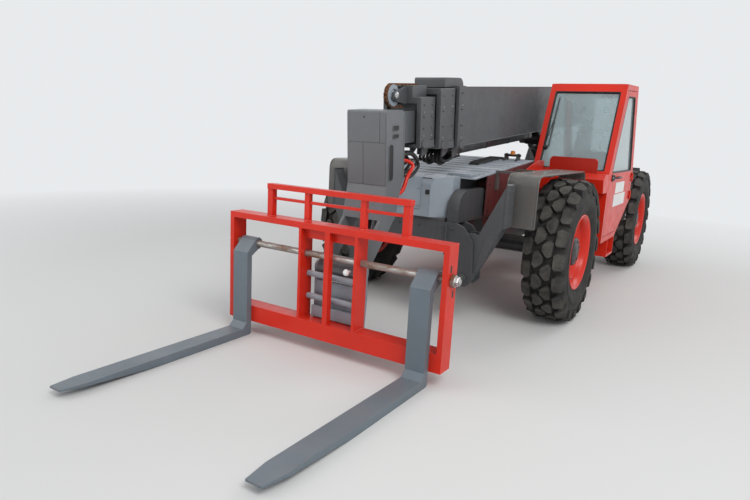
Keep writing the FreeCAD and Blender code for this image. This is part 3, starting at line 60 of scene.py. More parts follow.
# Places of the machine, in metres: lengths along it are measured from the front axle
AXLE_X = sum(corner[0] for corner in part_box("rim_front_left")) / 2
FRONT_AXLE = np.array([AXLE_X, 0.0, 0.0])
BOOM_ANGLE = math.radians(5.0)
BOOM_ALONG = np.array([math.cos(BOOM_ANGLE), 0.0, -math.sin(BOOM_ANGLE)])
BOOM_UP = np.array([math.sin(BOOM_ANGLE), 0.0, math.cos(BOOM_ANGLE)])
BOOM_PIVOT = FRONT_AXLE + (-3.750, 0.0, 2.200)

# Views to draw outlines in: first and second direction, the way that the outline is carried, and where all start
SIDE_VIEW = (X_AXIS, Z_AXIS, Y_AXIS, FRONT_AXLE)
PLAN_VIEW = (X_AXIS, Y_AXIS, Z_AXIS, FRONT_AXLE)
FRONT_VIEW = (Y_AXIS, Z_AXIS, X_AXIS, FRONT_AXLE)
BOOM_SIDE = (BOOM_ALONG, BOOM_UP, Y_AXIS, BOOM_PIVOT)
BOOM_FRONT = (Y_AXIS, BOOM_UP, BOOM_ALONG, BOOM_PIVOT)


def at(x, y, z):
    """A place given from the middle of the front axle, on the floor."""
    return FRONT_AXLE + (x, y, z)


def path_at(*rows):
    """Several places given as at() takes them."""
    return FRONT_AXLE + np.array(rows, float)


def on_boom(s, n, y=0.0):
    """A place given along the lowered boom from its pivot, square to it, and across."""
    return BOOM_PIVOT + s * BOOM_ALONG + n * BOOM_UP + y * Y_AXIS


def path_on_boom(*rows):
    """Several places given as on_boom() takes them."""
    return on_boom(*np.array(rows, float).T[..., None])


def around(centre, first, second, radius, count, shift=0.0):
    """Places evenly round a circle: centre + radius * (cos t * first + sin t * second)."""
    t = TURN * (np.arange(count) + shift)[:, None] / count
    return centre + radius * (np.cos(t) * first + np.sin(t) * second)


# Surfaces
def build_mesh(name, points, faces, body, finishes, crease=35.0, face_finish=None):
    """Mesh object from an array of points and rows of corner numbers, riding on a body."""
    mesh = bpy.data.meshes.new(name)
    mesh.from_pydata(np.asarray(points, float).tolist(), [], [tuple(face) for face in faces])
    mesh.shade_smooth()
    mesh.set_sharp_from_angle(angle=math.radians(crease))
    piece = bpy.data.objects.new(name, mesh)
    bpy.context.scene.collection.objects.link(piece)
    for finish in finishes:
        mesh.materials.append(finish)
    mesh.polygons.foreach_set("material_index", np.asarray(face_finish, np.int32))
    mesh.update()
    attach(piece, body)
    return piece


def facing_out(points, faces):
    """The same shape, its faces turned round together if the volume that they close is negative."""
    points = np.asarray(points, float)
    faces = [tuple(int(corner) for corner in face) for face in faces]
    fans = np.array([(face[0], face[i], face[i + 1]) for face in faces for i in range(1, len(face) - 1)])
    a, b, c = points[fans[:, 0]], points[fans[:, 1]], points[fans[:, 2]]
    if np.einsum("ij,ij->", a - points[0], np.cross(b - points[0], c - points[0])) < 0:
        faces = [face[::-1] for face in faces]
    return points, faces


def grid_faces(rows, columns, wrap_rows=False, wrap_columns=False):
    """Corner numbers of the cells of a grid: a cell joins row i and i + 1, column j and j + 1."""
    i = np.arange(rows if wrap_rows else rows - 1)[:, None]
    j = np.arange(columns if wrap_columns else columns - 1)[None, :]
    below, right = (i + 1) % rows, (j + 1) % columns
    cells = np.stack(np.broadcast_arrays(i * columns + j, i * columns + right,
                                         below * columns + right, below * columns + j), axis=-1)
    return cells.reshape(-1, 4)


def closed_grid(cloud, wrap_rows):
    """A grid of rings of points as a closed shape: wrapped into a ring of rings, or with its two ends filled."""
    rows, columns = cloud.shape[:2]
    faces = [tuple(face) for face in grid_faces(rows, columns, wrap_rows, True)]
    if not wrap_rows:
        faces += [tuple(range(columns - 1, -1, -1)), tuple(range((rows - 1) * columns, rows * columns))]
    return facing_out(cloud.reshape(-1, 3), faces)


def basis(direction):
    """Two unit directions square to a direction and to each other, and the direction itself as the third."""
    axis = np.asarray(direction, float)
    axis = axis / np.linalg.norm(axis)
    guide = Z_AXIS if abs(axis[2]) < 0.9 else X_AXIS
    first = np.cross(guide, axis)
    first /= np.linalg.norm(first)
    return first, np.cross(axis, first), axis


def lathe(stations, origin, direction, segments=32, ring=False):
    """Turned shape: p = origin + along * axis + radius * (cos t, sin t); a ring's profile closes on itself."""
    profile = np.asarray(stations, float)
    first, second, axis = basis(direction)
    turn = np.linspace(0, TURN, segments, endpoint=False)
    circle = np.cos(turn)[:, None] * first + np.sin(turn)[:, None] * second
    cloud = np.asarray(origin, float) + profile[:, None, :1] * axis + profile[:, None, 1:] * circle[None]
    return closed_grid(cloud, ring)


def smooth_path(points, per_span=8):
    """Points on a smooth line through the given ones.

    Between b and c, with a before and d after, p = (2b + (c - a)t + (2a - 5b + 4c - d)t^2 + (3b - a - 3c + d)t^3) / 2
    for t from 0 to 1. The line starts and ends as if the first and last spans went straight on.
    """
    knots = np.asarray(points, float)
    padded = np.vstack([2 * knots[0] - knots[1], knots, 2 * knots[-1] - knots[-2]])
    t = np.linspace(0, 1, per_span, endpoint=False)[None, :, None]
    a, b, c, d = (padded[k:len(knots) - 1 + k][:, None, :] for k in range(4))
    spans = 0.5 * (2 * b + (c - a) * t + (2 * a - 5 * b + 4 * c - d) * t ** 2
                   + (3 * b - a - 3 * c + d) * t ** 3)
    return np.vstack([spans.reshape(-1, 3), knots[-1:]])


def tube(points, radius, sides=10, per_span=8):
    """A circle carried along a smooth path, square to it, closed at both ends."""
    path = smooth_path(points, per_span)
    tangent = np.gradient(path, axis=0)
    tangent /= np.linalg.norm(tangent, axis=1, keepdims=True)
    guide = np.eye(3)[int(np.argmin(np.abs(tangent).max(axis=0)))]
    first = np.cross(guide, tangent)
    first /= np.linalg.norm(first, axis=1, keepdims=True)
    second = np.cross(tangent, first)
    turn = np.linspace(0, TURN, sides, endpoint=False)
    ring = np.cos(turn)[None, :, None] * first[:, None] + np.sin(turn)[None, :, None] * second[:, None]
    return closed_grid(path[:, None] + radius * ring, False)


def torus(centre, direction, radius, thickness, sides=10, segments=48):
    """A circle of one radius carried round a circle of another."""
    turn = np.linspace(0, TURN, sides, endpoint=False)
    profile = np.stack([thickness * np.sin(turn), radius + thickness * np.cos(turn)], axis=1)
    return lathe(profile, centre, direction, segments, True)


def slab(outline, start, end, view=SIDE_VIEW):
    """An outline in a view's two directions, carried from start to end along its third."""
    first, second, axis, origin = view
    flat = np.asarray(outline, float)
    ring = origin + flat[:, :1] * first + flat[:, 1:] * second
    return closed_grid(np.stack([ring + start * axis, ring + end * axis]), False)


def rectangle(a, b):
    """Corners of a rectangle between two pairs of limits."""
    return [(a[0], b[0]), (a[1], b[0]), (a[1], b[1]), (a[0], b[1])]


def bend(before, corner, after, radius, steps):
    """A rounded corner: (1 - t)^2 * start + 2t(1 - t) * corner + t^2 * end, both ends a radius away from it."""
    back, on = before - corner, after - corner
    start = corner + radius * back / np.linalg.norm(back, axis=-1, keepdims=True)
    end = corner + radius * on / np.linalg.norm(on, axis=-1, keepdims=True)
    t = np.linspace(0, 1, steps)[:, None]
    return (1 - t) ** 2 * start[..., None, :] + 2 * t * (1 - t) * corner[..., None, :] + t ** 2 * end[..., None, :]


def rounded(corners, radius, steps=5):
    """A closed outline with each of its corners rounded."""
    corners = np.asarray(corners, float)
    curve = bend(np.roll(corners, 1, axis=0), corners, np.roll(corners, -1, axis=0), radius, steps)
    return curve.reshape(-1, corners.shape[1])


def bent_path(corners, radius, steps=6):
    """An open line whose inner corners are rounded, as rows of points."""
    corners = np.asarray(corners, float)
    curve = bend(corners[:-2], corners[1:-1], corners[2:], radius, steps)
    return np.vstack([corners[:1], curve.reshape(-1, 3), corners[-1:]])


def plate(a, b, radius, start, end, view=SIDE_VIEW, steps=5):
    """A rectangle with rounded corners, carried from start to end."""
    return slab(rounded(rectangle(a, b), radius, steps), start, end, view)


def carried(path, normal, section):
    """A section carried round a closed flat path: p = path + u * outward + v * normal."""
    normal = np.asarray(normal, float) / np.linalg.norm(normal)
    tangent = np.roll(path, -1, axis=0) - np.roll(path, 1, axis=0)
    outward = np.cross(tangent, normal)
    outward /= np.linalg.norm(outward, axis=1, keepdims=True)
    if np.einsum("ij,ij->", outward, path - path.mean(axis=0)) < 0:
        outward = -outward
    section = np.asarray(section, float)
    cloud = path[:, None] + section[None, :, :1] * outward[:, None] + section[None, :, 1:] * normal
    return closed_grid(cloud, True)


def gasket(corners, normal, section, radius=0.05):
    """A section carried round a flat outline with rounded corners."""
    return carried(rounded(corners, radius), normal, section)


def disc(radius, sides=8):
    """Points of a circle, as a section to carry along a path."""
    turn = np.linspace(0, TURN, sides, endpoint=False)
    return radius * np.stack([np.cos(turn), np.sin(turn)], axis=1)


def copies(shape, matrices):
    """The same shape under many 4 by 4 matrices, joined: every corner is multiplied by each matrix."""
    points, faces = shape
    base = np.hstack([points, np.ones((len(points), 1))])
    placed_points = np.einsum("mij,nj->mni", np.asarray(matrices), base)[..., :3]
    offsets = np.arange(len(matrices)) * len(points)
    return placed_points.reshape(-1, 3), [tuple(c + o for c in face) for o in offsets for face in faces]


def joined(shapes):
    """Several shapes as one list of points and faces."""
    points, faces, count = [], [], 0
    for part_points, part_faces in shapes:
        points.append(part_points)
        faces += [tuple(int(c) + count for c in face) for face in part_faces]
        count += len(part_points)
    return np.vstack(points), faces


def mirrored(shape):
    """The shape on the other side of the machine."""
    points, faces = shape
    return points * np.array([1.0, -1.0, 1.0]), [face[::-1] for face in faces]


def both(*shapes):
    """The shapes and their mirror images."""
    shape = joined(shapes)
    return joined([shape, mirrored(shape)])


def placed(origin, direction, turn=0.0):
    """Matrix that takes +Z to a direction and the origin to a place."""
    spin = np.array([[math.cos(turn), -math.sin(turn), 0], [math.sin(turn), math.cos(turn), 0], [0, 0, 1]])
    matrix = np.eye(4)
    matrix[:3, :3] = np.stack(basis(direction), axis=1) @ spin
    matrix[:3, 3] = origin
    return matrix


def bolts(places, direction, radius=0.009, washer=True):
    """Hexagon heads, on washers or bare, at the places, pointing along a direction."""
    shapes = [lathe([(0.0, radius), (0.55 * radius, radius), (0.72 * radius, 0.82 * radius)], ORIGIN, Z_AXIS, 6)]
    if washer:
        shapes.append(lathe([(-0.001, 1.3 * radius), (0.0025, 1.3 * radius)], ORIGIN, Z_AXIS, 16))
    return copies(joined(shapes), [placed(place, direction, 0.7 * i) for i, place in enumerate(places)])


def round_edges(piece, width, angle=30.0):
    """Bevels the sharp edges of a piece."""
    bevel = piece.modifiers.new("rounded edges", "BEVEL")
    bevel.width = width
    bevel.segments = 2
    bevel.limit_method = "ANGLE"
    bevel.angle_limit = math.radians(angle)
    bevel.harden_normals = True
    return piece


# Materials and record slots by the finish's name, filled by make_finishes()
FINISHES, SLOTS = {}, {}


def add_piece(name, body, parts, edge=0.0, crease=35.0, replaces=()):
    """A piece riding on a body, from rows of a finish and its shapes."""
    names = list(dict.fromkeys(finish for finish, *_ in parts))
    shapes = [shape for _, *row in parts for shape in row]
    numbers = [names.index(finish) for finish, *row in parts for _ in row]
    face_finish = np.repeat(numbers, [len(faces) for _, faces in shapes])
    points, faces = joined(shapes)
    piece = build_mesh(name, points, faces, body, [FINISHES[finish] for finish in names], crease, face_finish)
    if replaces:
        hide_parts(*replaces)
    return round_edges(piece, edge) if edge else piece


# Finishes
class Nodes:
    """Short way to add and join the nodes of a material or of the world."""

    def __init__(self, block):
        """Starts from the nodes that Blender gives a new material or world."""
        block.use_nodes = True
        self.block, self.tree = block, block.node_tree

    def add(self, kind, *values, **named):
        """A node: names in small letters are its settings, capital names and the values in order its sockets."""
        node = self.tree.nodes.new(f"ShaderNode{kind}")
        sockets = dict(enumerate(values))
        for key, value in named.items():
            if key.islower():
                setattr(node, key, value)
            else:
                sockets[key] = value
        for key, value in sockets.items():
            self.set(node, key, value)
        return node

    def set(self, node, key, value):
        """Gives a socket a value, or joins another node's output to it."""
        socket = node.inputs[key.replace("_", " ") if isinstance(key, str) else key]
        if isinstance(value, bpy.types.NodeSocket):
            self.tree.links.new(value, socket)
        else:
            socket.default_value = value

    def place(self):
        """Object coordinates."""
        return self.add("TexCoord").outputs["Object"]

    def noise(self, scale, detail=4.0, roughness=0.55, stretch=None):
        """Cloudy pattern from 0 to 1, with so many features a metre."""
        where = self.place()
        if stretch:
            where = self.add("Mapping", Vector=where, Scale=stretch).outputs[0]
        return self.add("TexNoise", Vector=where, Scale=scale, Detail=detail, Roughness=roughness).outputs["Fac"]

    def ramp(self, value, low, high, start=0.0, end=1.0):
        """Goes from start to end while the value goes from low to high, and stays there."""
        return self.add("MapRange", value, low, high, start, end, clamp=True).outputs[0]

    def mix(self, factor, first, second):
        """From the first colour at 0 to the second at 1."""
        node = self.add("Mix", factor, data_type="RGBA")
        self.set(node, 6, first)
        self.set(node, 7, second)
        return node.outputs[2]

    def times(self, first, second):
        """Product of two values."""
        return self.add("Math", first, second, operation="MULTIPLY").outputs[0]

    def bump(self, height, strength, distance):
        """Normal of a surface with a fine relief."""
        return self.add("Bump", Height=height, Strength=strength, Distance=distance).outputs[0]

    def facing_up(self):
        """How far a surface faces the sky."""
        return self.add("SeparateXYZ", Vector=self.add("NewGeometry").outputs["Normal"]).outputs["Z"]

    def edges(self, width):
        """1 at sharp edges and 0 elsewhere: how far a rounded normal leaves the surface's own."""
        soft = self.add("Bevel", samples=4, Radius=width).outputs[0]
        flat = self.add("NewGeometry").outputs["Normal"]
        return self.ramp(self.add("VectorMath", soft, flat, operation="DOT_PRODUCT").outputs["Value"], 0.99, 0.90)

    def corners(self, distance):
        """1 in corners and under ledges, found by ambient occlusion where shade falls and dirt gathers, and 0 in the
        open.
        """
        return self.ramp(self.add("AmbientOcclusion", samples=4, Distance=distance).outputs["AO"], 0.85, 0.35)

    def put(self, **inputs):
        """Fills the sockets of the material's shader and hands the material over."""
        for key, value in inputs.items():
            self.set(self.tree.nodes["Principled BSDF"], key, value)
        return self.block


def surface(name):
    """Nodes of a new material."""
    return Nodes(bpy.data.materials.new(name))


def tinted(colour, factor):
    """The colour made darker or paler by a factor."""
    return tuple(min(1.0, c * factor) for c in colour[:3]) + (1.0,)


DUST = (0.30, 0.275, 0.24, 1.0)
# Near-black laid into the corners of paint: dirt and painted shade together
GRIME_AND_SHADE = (0.022, 0.019, 0.016, 1.0)
RUST_DARK = (0.075, 0.028, 0.014, 1.0)
RUST_LIGHT = (0.27, 0.115, 0.05, 1.0)

# The room of the cowl's upright plate, darkened in the cowl's paint as painted shade: direction, lowest and highest
# place in it
PAINTED_SHADE_ZONE = (("X", AXLE_X - 0.915, AXLE_X - 0.885), ("Y", 0.62, 1.14), ("Z", 1.19, 1.60))


def paint(name, colour, roughness=0.34, dust=0.25, chips=0.3, under=(0.08, 0.08, 0.085, 1.0), coat=0.25, wear=0.4,
          grime_and_shade=0.5, painted_shade_zone=None, upward_dust_and_light=DUST, upward_dust_and_light_gain=1.0):
    """Sprayed paint: slow drift, dust on upward faces, near-black dirt and painted shade in corners, worn edges, chips
    and orange peel; where given, a colour on upward faces (a pale one on the cover as painted light) and a zone
    darkened as painted shade.
    """
    n = surface(name)
    drift = n.ramp(n.noise(1.7, 3.0), 0.3, 0.7)
    base = n.mix(drift, tinted(colour, 0.9), tinted(colour, 1.08))
    # Within the given zone the colour falls to 0.28 of itself: painted shade
    if painted_shade_zone:
        where = n.add("SeparateXYZ", Vector=n.place()).outputs
        in_shade_zone = 1.0
        for axis, low, high in painted_shade_zone:
            in_shade_zone = n.times(n.times(in_shade_zone, n.ramp(where[axis], low, low + 0.002)),
                             n.ramp(where[axis], high - 0.002, high, 1.0, 0.0))
        base = n.mix(in_shade_zone, base, tinted(colour, 0.28))
    mottle = n.ramp(n.noise(23.0, 6.0, 0.6), 0.3, 0.75)
    base = n.mix(n.times(mottle, 0.10), base, tinted(colour, 0.6))
    lying = n.times(n.ramp(n.facing_up(), 0.35, 0.95), n.ramp(n.noise(5.0, 6.0), 0.35, 0.75, 0.2, 1.0))
    streaks = n.ramp(n.noise(14.0, 5.0, stretch=(1.0, 1.0, 0.12)), 0.52, 0.78)
    base = n.mix(n.times(streaks, 0.22 * dust), base, DUST)
    # Upward faces take the dust colour, or the pale colour given for the cover as painted light
    base = n.mix(n.times(lying, dust * upward_dust_and_light_gain), base, upward_dust_and_light)
    # Corners found by ambient occlusion darken towards near-black: painted shade, with dirt
    base = n.mix(n.times(n.times(n.corners(0.05), n.ramp(n.noise(17.0, 5.0), 0.3, 0.7)), grime_and_shade), base, GRIME_AND_SHADE)
    spots = n.times(n.ramp(n.noise(38.0, 9.0, 0.62), 0.66, 0.69), n.ramp(n.noise(3.1, 4.0), 0.48, 0.62))
    worn = n.times(n.edges(0.006), n.ramp(n.noise(26.0, 7.0, 0.6), 0.50, 0.60))
    base = n.mix(n.times(spots, chips), base, under)
    base = n.mix(n.times(worn, wear), base, under)
    rough = n.ramp(n.noise(9.0, 5.0), 0.3, 0.75, roughness - 0.06, roughness + 0.12)
    peel = n.bump(n.noise(260.0, 2.0), 0.06, 0.001)
    return n.put(Base_Color=base, Roughness=rough, Normal=peel, Coat_Weight=coat, Coat_Roughness=0.12,
                 Specular_IOR_Level=0.35)


def rubber(name, colour, dust=0.5, roughness=0.82, grain=420.0):
    """Rubber: dull black with a fine grain and dust caught in patches and in its corners."""
    n = surface(name)
    patches = n.ramp(n.noise(7.0, 8.0, 0.62), 0.38, 0.72)
    specks = n.ramp(n.noise(85.0, 4.0), 0.4, 0.75)
    base = n.mix(n.times(patches, dust), colour, DUST)
    base = n.mix(n.times(specks, 0.22 * dust), base, tinted(DUST, 1.3))
    base = n.mix(n.times(n.corners(0.03), 0.35 * dust), base, DUST)
    return n.put(Base_Color=base, Roughness=roughness, Normal=n.bump(n.noise(grain, 3.0), 0.22, 0.002),
                 Specular_IOR_Level=0.35)


def rusty_steel(name, colour=(0.42, 0.41, 0.39, 1.0), rust=0.6, roughness=0.42):
    """Bare steel with rust in blotches, rougher and browner where it is thick."""
    n = surface(name)
    blotch = n.ramp(n.noise(11.0, 9.0, 0.66, stretch=(1.0, 0.35, 1.0)), 0.62 - 0.3 * rust, 0.80 - 0.3 * rust)
    brown = n.mix(n.ramp(n.noise(60.0, 6.0), 0.3, 0.7), RUST_DARK, RUST_LIGHT)
    return n.put(Base_Color=n.mix(blotch, colour, brown), Metallic=n.ramp(blotch, 0.0, 1.0, 1.0, 0.0),
                 Roughness=n.ramp(blotch, 0.0, 1.0, roughness, 0.88),
                 Normal=n.bump(n.noise(190.0, 6.0), 0.25, 0.0015))


def metal(name, colour, roughness=0.12, grain=0.0):
    """Plain metal with fine turned or ground marks."""
    n = surface(name)
    rough = n.ramp(n.noise(30.0, 5.0), 0.3, 0.7, roughness, roughness + 0.1)
    height = n.noise(500.0, 3.0, stretch=(0.05, 1.0, 1.0))
    return n.put(Base_Color=colour, Metallic=1.0, Roughness=rough, Normal=n.bump(height, 0.05 + grain, 0.0006))


def plastic(name, colour, roughness=0.5, grain=420.0):
    """Moulded plastic or vinyl with a leathery grain, paler where dust lies."""
    n = surface(name)
    cells = n.add("TexVoronoi", Vector=n.place(), Scale=grain)
    tone = n.mix(n.ramp(n.noise(4.0, 4.0), 0.3, 0.7), tinted(colour, 0.85), tinted(colour, 1.2))
    lying = n.times(n.ramp(n.facing_up(), 0.5, 1.0), n.ramp(n.noise(6.0, 5.0), 0.4, 0.8, 0.0, 0.25))
    return n.put(Base_Color=n.mix(lying, tone, DUST), Roughness=roughness,
                 Normal=n.bump(cells.outputs["Distance"], 0.12, 0.0008))


def window_glass(name, colour):
    """Safety glass that lets only part of the light through and shows its pale colour over the rest as a painted
    reflection, hiding part of what lies behind it; a film of dust, thicker in patches, makes it rougher and less clear.
    """
    n = surface(name)
    film = n.ramp(n.noise(2.6, 7.0), 0.3, 0.8)
    # The pale colour in the share not let through stands for reflected sky: painted reflection
    return n.put(Base_Color=colour, Roughness=n.ramp(film, 0.0, 1.0, 0.02, 0.10),
                 Transmission_Weight=n.ramp(film, 0.0, 1.0, 0.74, 0.64), IOR=1.45)


def lens(name, colour):
    """Moulded lamp lens with a fine prism pattern."""
    n = surface(name)
    ribs = n.add("TexWave", Vector=n.place(), Scale=60.0)
    return n.put(Base_Color=colour, Roughness=0.12, Transmission_Weight=0.25, IOR=1.49,
                 Normal=n.bump(ribs.outputs["Fac"], 0.3, 0.001))


def make_finishes():
    """Every finish of the machine by name, with its record's slot, from the colours in the panel."""
    colours = bpy.context.scene.telehandler_colours
    red, grey, cover = tuple(colours.red), tuple(colours.grey), tuple(colours.cover)
    bare = (0.20, 0.19, 0.18, 1.0)
    bright = dict(colour=red, roughness=0.36, dust=0.08, chips=0.30, coat=0.12, wear=0.35, grime_and_shade=0.45)
    recipes = (
        ("red paint", "red_paint", paint, bright),
        # The cowl's paint darkens its upright plate: painted shade
        ("cowl paint", "red_paint", paint, dict(bright, painted_shade_zone=PAINTED_SHADE_ZONE)),
        # Red darkened to a deep maroon for the side panels under the deck: painted shade
        ("maroon paint", "red_paint", paint,
         dict(colour=(0.135, 0.030, 0.030, 1.0), roughness=0.45, dust=0.4, chips=0.2, coat=0.05)),
        ("grey paint", "grey_paint", paint,
         dict(colour=grey, roughness=0.42, dust=0.2, chips=0.2, under=bare, coat=0.1, wear=0.45)),
        ("boom paint", "grey_paint", paint,
         dict(colour=tinted(grey, 0.56), roughness=0.42, dust=0.16, chips=0.2, under=bare, coat=0.1, wear=0.55,
              grime_and_shade=0.6)),
        # Pale bluish over upward faces, 4.5 times the dust amount: painted light on the tops
        ("cover paint", "grey_paint", paint,
         dict(colour=cover, roughness=0.40, dust=0.2, chips=0.15, under=bare, coat=0.12, wear=0.35, grime_and_shade=0.6,
              upward_dust_and_light=(0.72, 0.73, 0.78, 1.0), upward_dust_and_light_gain=4.5)),
        ("chassis paint", "grey_paint", paint,
         dict(colour=tinted(grey, 0.45), roughness=0.48, dust=0.35, chips=0.35, under=(0.06, 0.04, 0.03, 1.0),
              coat=0.05)),
        ("fender paint", "grey_paint", paint,
         dict(colour=(0.108, 0.103, 0.096, 1.0), roughness=0.40, dust=0.45, chips=0.25, coat=0.2, grime_and_shade=0.7)),
        ("black paint", "black_paint", paint,
         dict(colour=(0.020, 0.020, 0.022, 1.0), roughness=0.42, dust=0.4, chips=0.2, under=RUST_DARK)),
        ("fork paint", "fork_steel", paint,
         dict(colour=(0.150, 0.185, 0.215, 1.0), roughness=0.42, dust=0.18, chips=0.4, under=RUST_LIGHT, coat=0.1,
              wear=0.6, grime_and_shade=0.35)),
        ("white patch", "red_paint", paint,
         dict(colour=(0.80, 0.80, 0.78, 1.0), roughness=0.32, dust=0.08, chips=0.1, wear=0.1)),
        ("tyre wall", "tyre_rubber", rubber, dict(colour=(0.016, 0.016, 0.016, 1.0), dust=0.10)),
        ("tread top", "tyre_rubber", rubber, dict(colour=(0.032, 0.031, 0.029, 1.0), dust=0.30, roughness=0.9)),
        ("hose", "tyre_rubber", rubber,
         dict(colour=(0.012, 0.012, 0.013, 1.0), dust=0.1, roughness=0.5, grain=700.0)),
        ("seal", "tyre_rubber", rubber,
         dict(colour=(0.010, 0.010, 0.011, 1.0), dust=0.08, roughness=0.55, grain=600.0)),
        ("shaft steel", "bare_steel", rusty_steel, dict(rust=0.75)),
        ("chain steel", "bare_steel", rusty_steel,
         dict(colour=(0.16, 0.13, 0.11, 1.0), rust=1.05, roughness=0.6)),
        ("pin steel", "bare_steel", rusty_steel, dict(colour=(0.34, 0.34, 0.33, 1.0), rust=0.2, roughness=0.38)),
        ("cast iron", "cast_iron", rusty_steel, dict(colour=(0.07, 0.07, 0.07, 1.0), rust=0.35, roughness=0.75)),
        ("chrome", "chrome", metal, dict(colour=(0.78, 0.78, 0.79, 1.0), roughness=0.07)),
        ("zinc", "bare_steel", metal, dict(colour=(0.50, 0.50, 0.49, 1.0), roughness=0.34, grain=0.1)),
        ("vinyl", "black_vinyl", plastic, dict(colour=(0.020, 0.020, 0.021, 1.0), roughness=0.55)),
        ("black plastic", "black_plastic", plastic,
         dict(colour=(0.018, 0.018, 0.019, 1.0), roughness=0.48, grain=700.0)),
        # Pale blue-green of the panes: painted reflection
        ("glass", "glass", window_glass, dict(colour=(0.66, 0.77, 0.79, 1.0))),
        ("lamp red", "glass", lens, dict(colour=(0.45, 0.012, 0.010, 1.0))),
        ("amber", "glass", lens, dict(colour=(0.75, 0.22, 0.015, 1.0))),
    )
    for name, slot, make, values in recipes:
        FINISHES[name], SLOTS[name] = make(name, **values), slot


NODE_FINISH = {
    "red paint": ("cab", "cab_door", "cab_step", "carriage", "engine_pod", "engine_lid"),
    "cowl paint": ("cowl",),
    # The side panels take the darkened red: painted shade
    "maroon paint": ("side_panels",),
    "grey paint": ("boom_nose",),
    "boom paint": ("boom_base", "boom_section_2", "boom_section_3", "boom_section_4", "leg_left", "leg_right"),
    "fender paint": ("fenders",),
    # The coupler takes the paler cover grey to offset its shade: painted light
    "cover paint": ("front_cover", "coupler"),
    "chassis paint": ("frame", "counterweight", "leg_house", "pod_brackets", "cab_mounts", "lift_foot", "cheeks"),
    "black paint": ("axle_front", "axle_rear", *(f"knuckle_{end}_{side}" for end, side in CORNERS)),
    "fork paint": ("fork_left", "fork_right"),
    "shaft steel": ("fork_shaft",),
    "pin steel": ("boom_pin", "leg_pins"),
    "glass": ("door_glass", "cab_glass"),
    "cast iron": ("engine",),
}
NODE_EDGE = 0.003


def dress_node(name, finish):
    """Gives a node its finish, and welds and rounds its edges for the light to catch, but leaves panes flat."""
    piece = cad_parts[name]
    piece.data.materials.clear()
    piece.data.materials.append(FINISHES[finish])
    if finish != "glass":
        piece.modifiers.new("weld", "WELD").merge_threshold = 0.00005
        round_edges(piece, NODE_EDGE, 28.0)


# Wheels
def wheel_centre(end, side):
    """Middle of a wheel, from its tyre's box."""
    low, high = (np.array(corner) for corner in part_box(f"tyre_{end}_{side}"))
    return (low + high) / 2


def tyre_walls(centre, hand, radius, width):
    """The casing: a rounded section turned about the axle, with the bead, ribs and shoulders."""
    floor = radius - 0.042
    half = width / 2
    section = [(0.036 - half, 0.350), (0.026 - half, 0.366), (0.028 - half, 0.374), (0.016 - half, 0.392),
               (0.018 - half, 0.400), (0.007 - half, 0.425), (0.001 - half, 0.455), (-half, 0.476),
               (0.001 - half, 0.490), (0.005 - half, 0.496), (0.006 - half, 0.52), (0.010 - half, 0.565),
               (0.024 - half, 0.597), (0.048 - half, floor - 0.004), (0.09 - half, floor), (0.0, floor + 0.004)]
    mirror = [(-y, r) for y, r in section[-2::-1]]
    inner = [(half - 0.042, 0.347), (half - 0.07, 0.352), (0.0, 0.36), (0.07 - half, 0.352), (0.042 - half, 0.347)]
    return lathe(section + mirror + inner, centre, (0, hand, 0), 96, True)


TREAD_BLOCKS = (
    # corners of a block on the tread, in metres: across from the middle, along the rolling direction
    ((0.093, -0.056), (0.112, -0.080), (0.176, -0.074), (0.1875, -0.020), (0.1875, 0.068), (0.130, 0.080),
     (0.096, 0.058)),
    ((-0.012, -0.024), (0.018, -0.062), (0.044, -0.082), (0.079, -0.064), (0.086, 0.050), (0.056, 0.080),
     (0.024, 0.060), (-0.010, 0.026)),
)
# Size of a block's outline against its corners, and its height against the tyre's radius: foot, shoulder, top
BLOCK_LEVELS = ((1.06, -0.060), (1.0, -0.007), (0.95, 0.0))
SHOULDER_WIDTH, SHOULDER_DROP = 0.03, 0.045


def tread_block(corners, radius, half):
    """A block: its outlines bent round the tyre.

    A point u across and v along lies at the angle v / radius, at a height that falls with the square of how far
    u has come into the shoulder.
    """
    flat = np.array(corners)
    middle = flat.mean(axis=0)
    rings = []
    for scale, drop in BLOCK_LEVELS:
        ring = middle + (flat - middle) * scale
        ring[:, 0] = np.clip(ring[:, 0], -half, half)
        edge = np.clip((np.abs(ring[:, 0]) - (half - SHOULDER_WIDTH)) / SHOULDER_WIDTH, 0, 1)
        height = radius + drop - SHOULDER_DROP * edge ** 2
        angle = ring[:, 1] / radius
        rings.append(np.stack([height * np.sin(angle), ring[:, 0], -height * np.cos(angle)], axis=1))
    return closed_grid(np.stack(rings), False)


def spun(angles, centre, half_turn):
    """Matrices that turn a block about the axle to its places, and to the other half of the tread."""
    matrices = []
    for angle in angles:
        c, s = math.cos(angle), math.sin(angle)
        matrix = np.array([[c, 0, -s, centre[0]], [0, 1, 0, centre[1]], [s, 0, c, centre[2]], [0, 0, 0, 1.0]])
        matrices.append(matrix @ np.diag([half_turn, half_turn, 1.0, 1.0]))
    return matrices


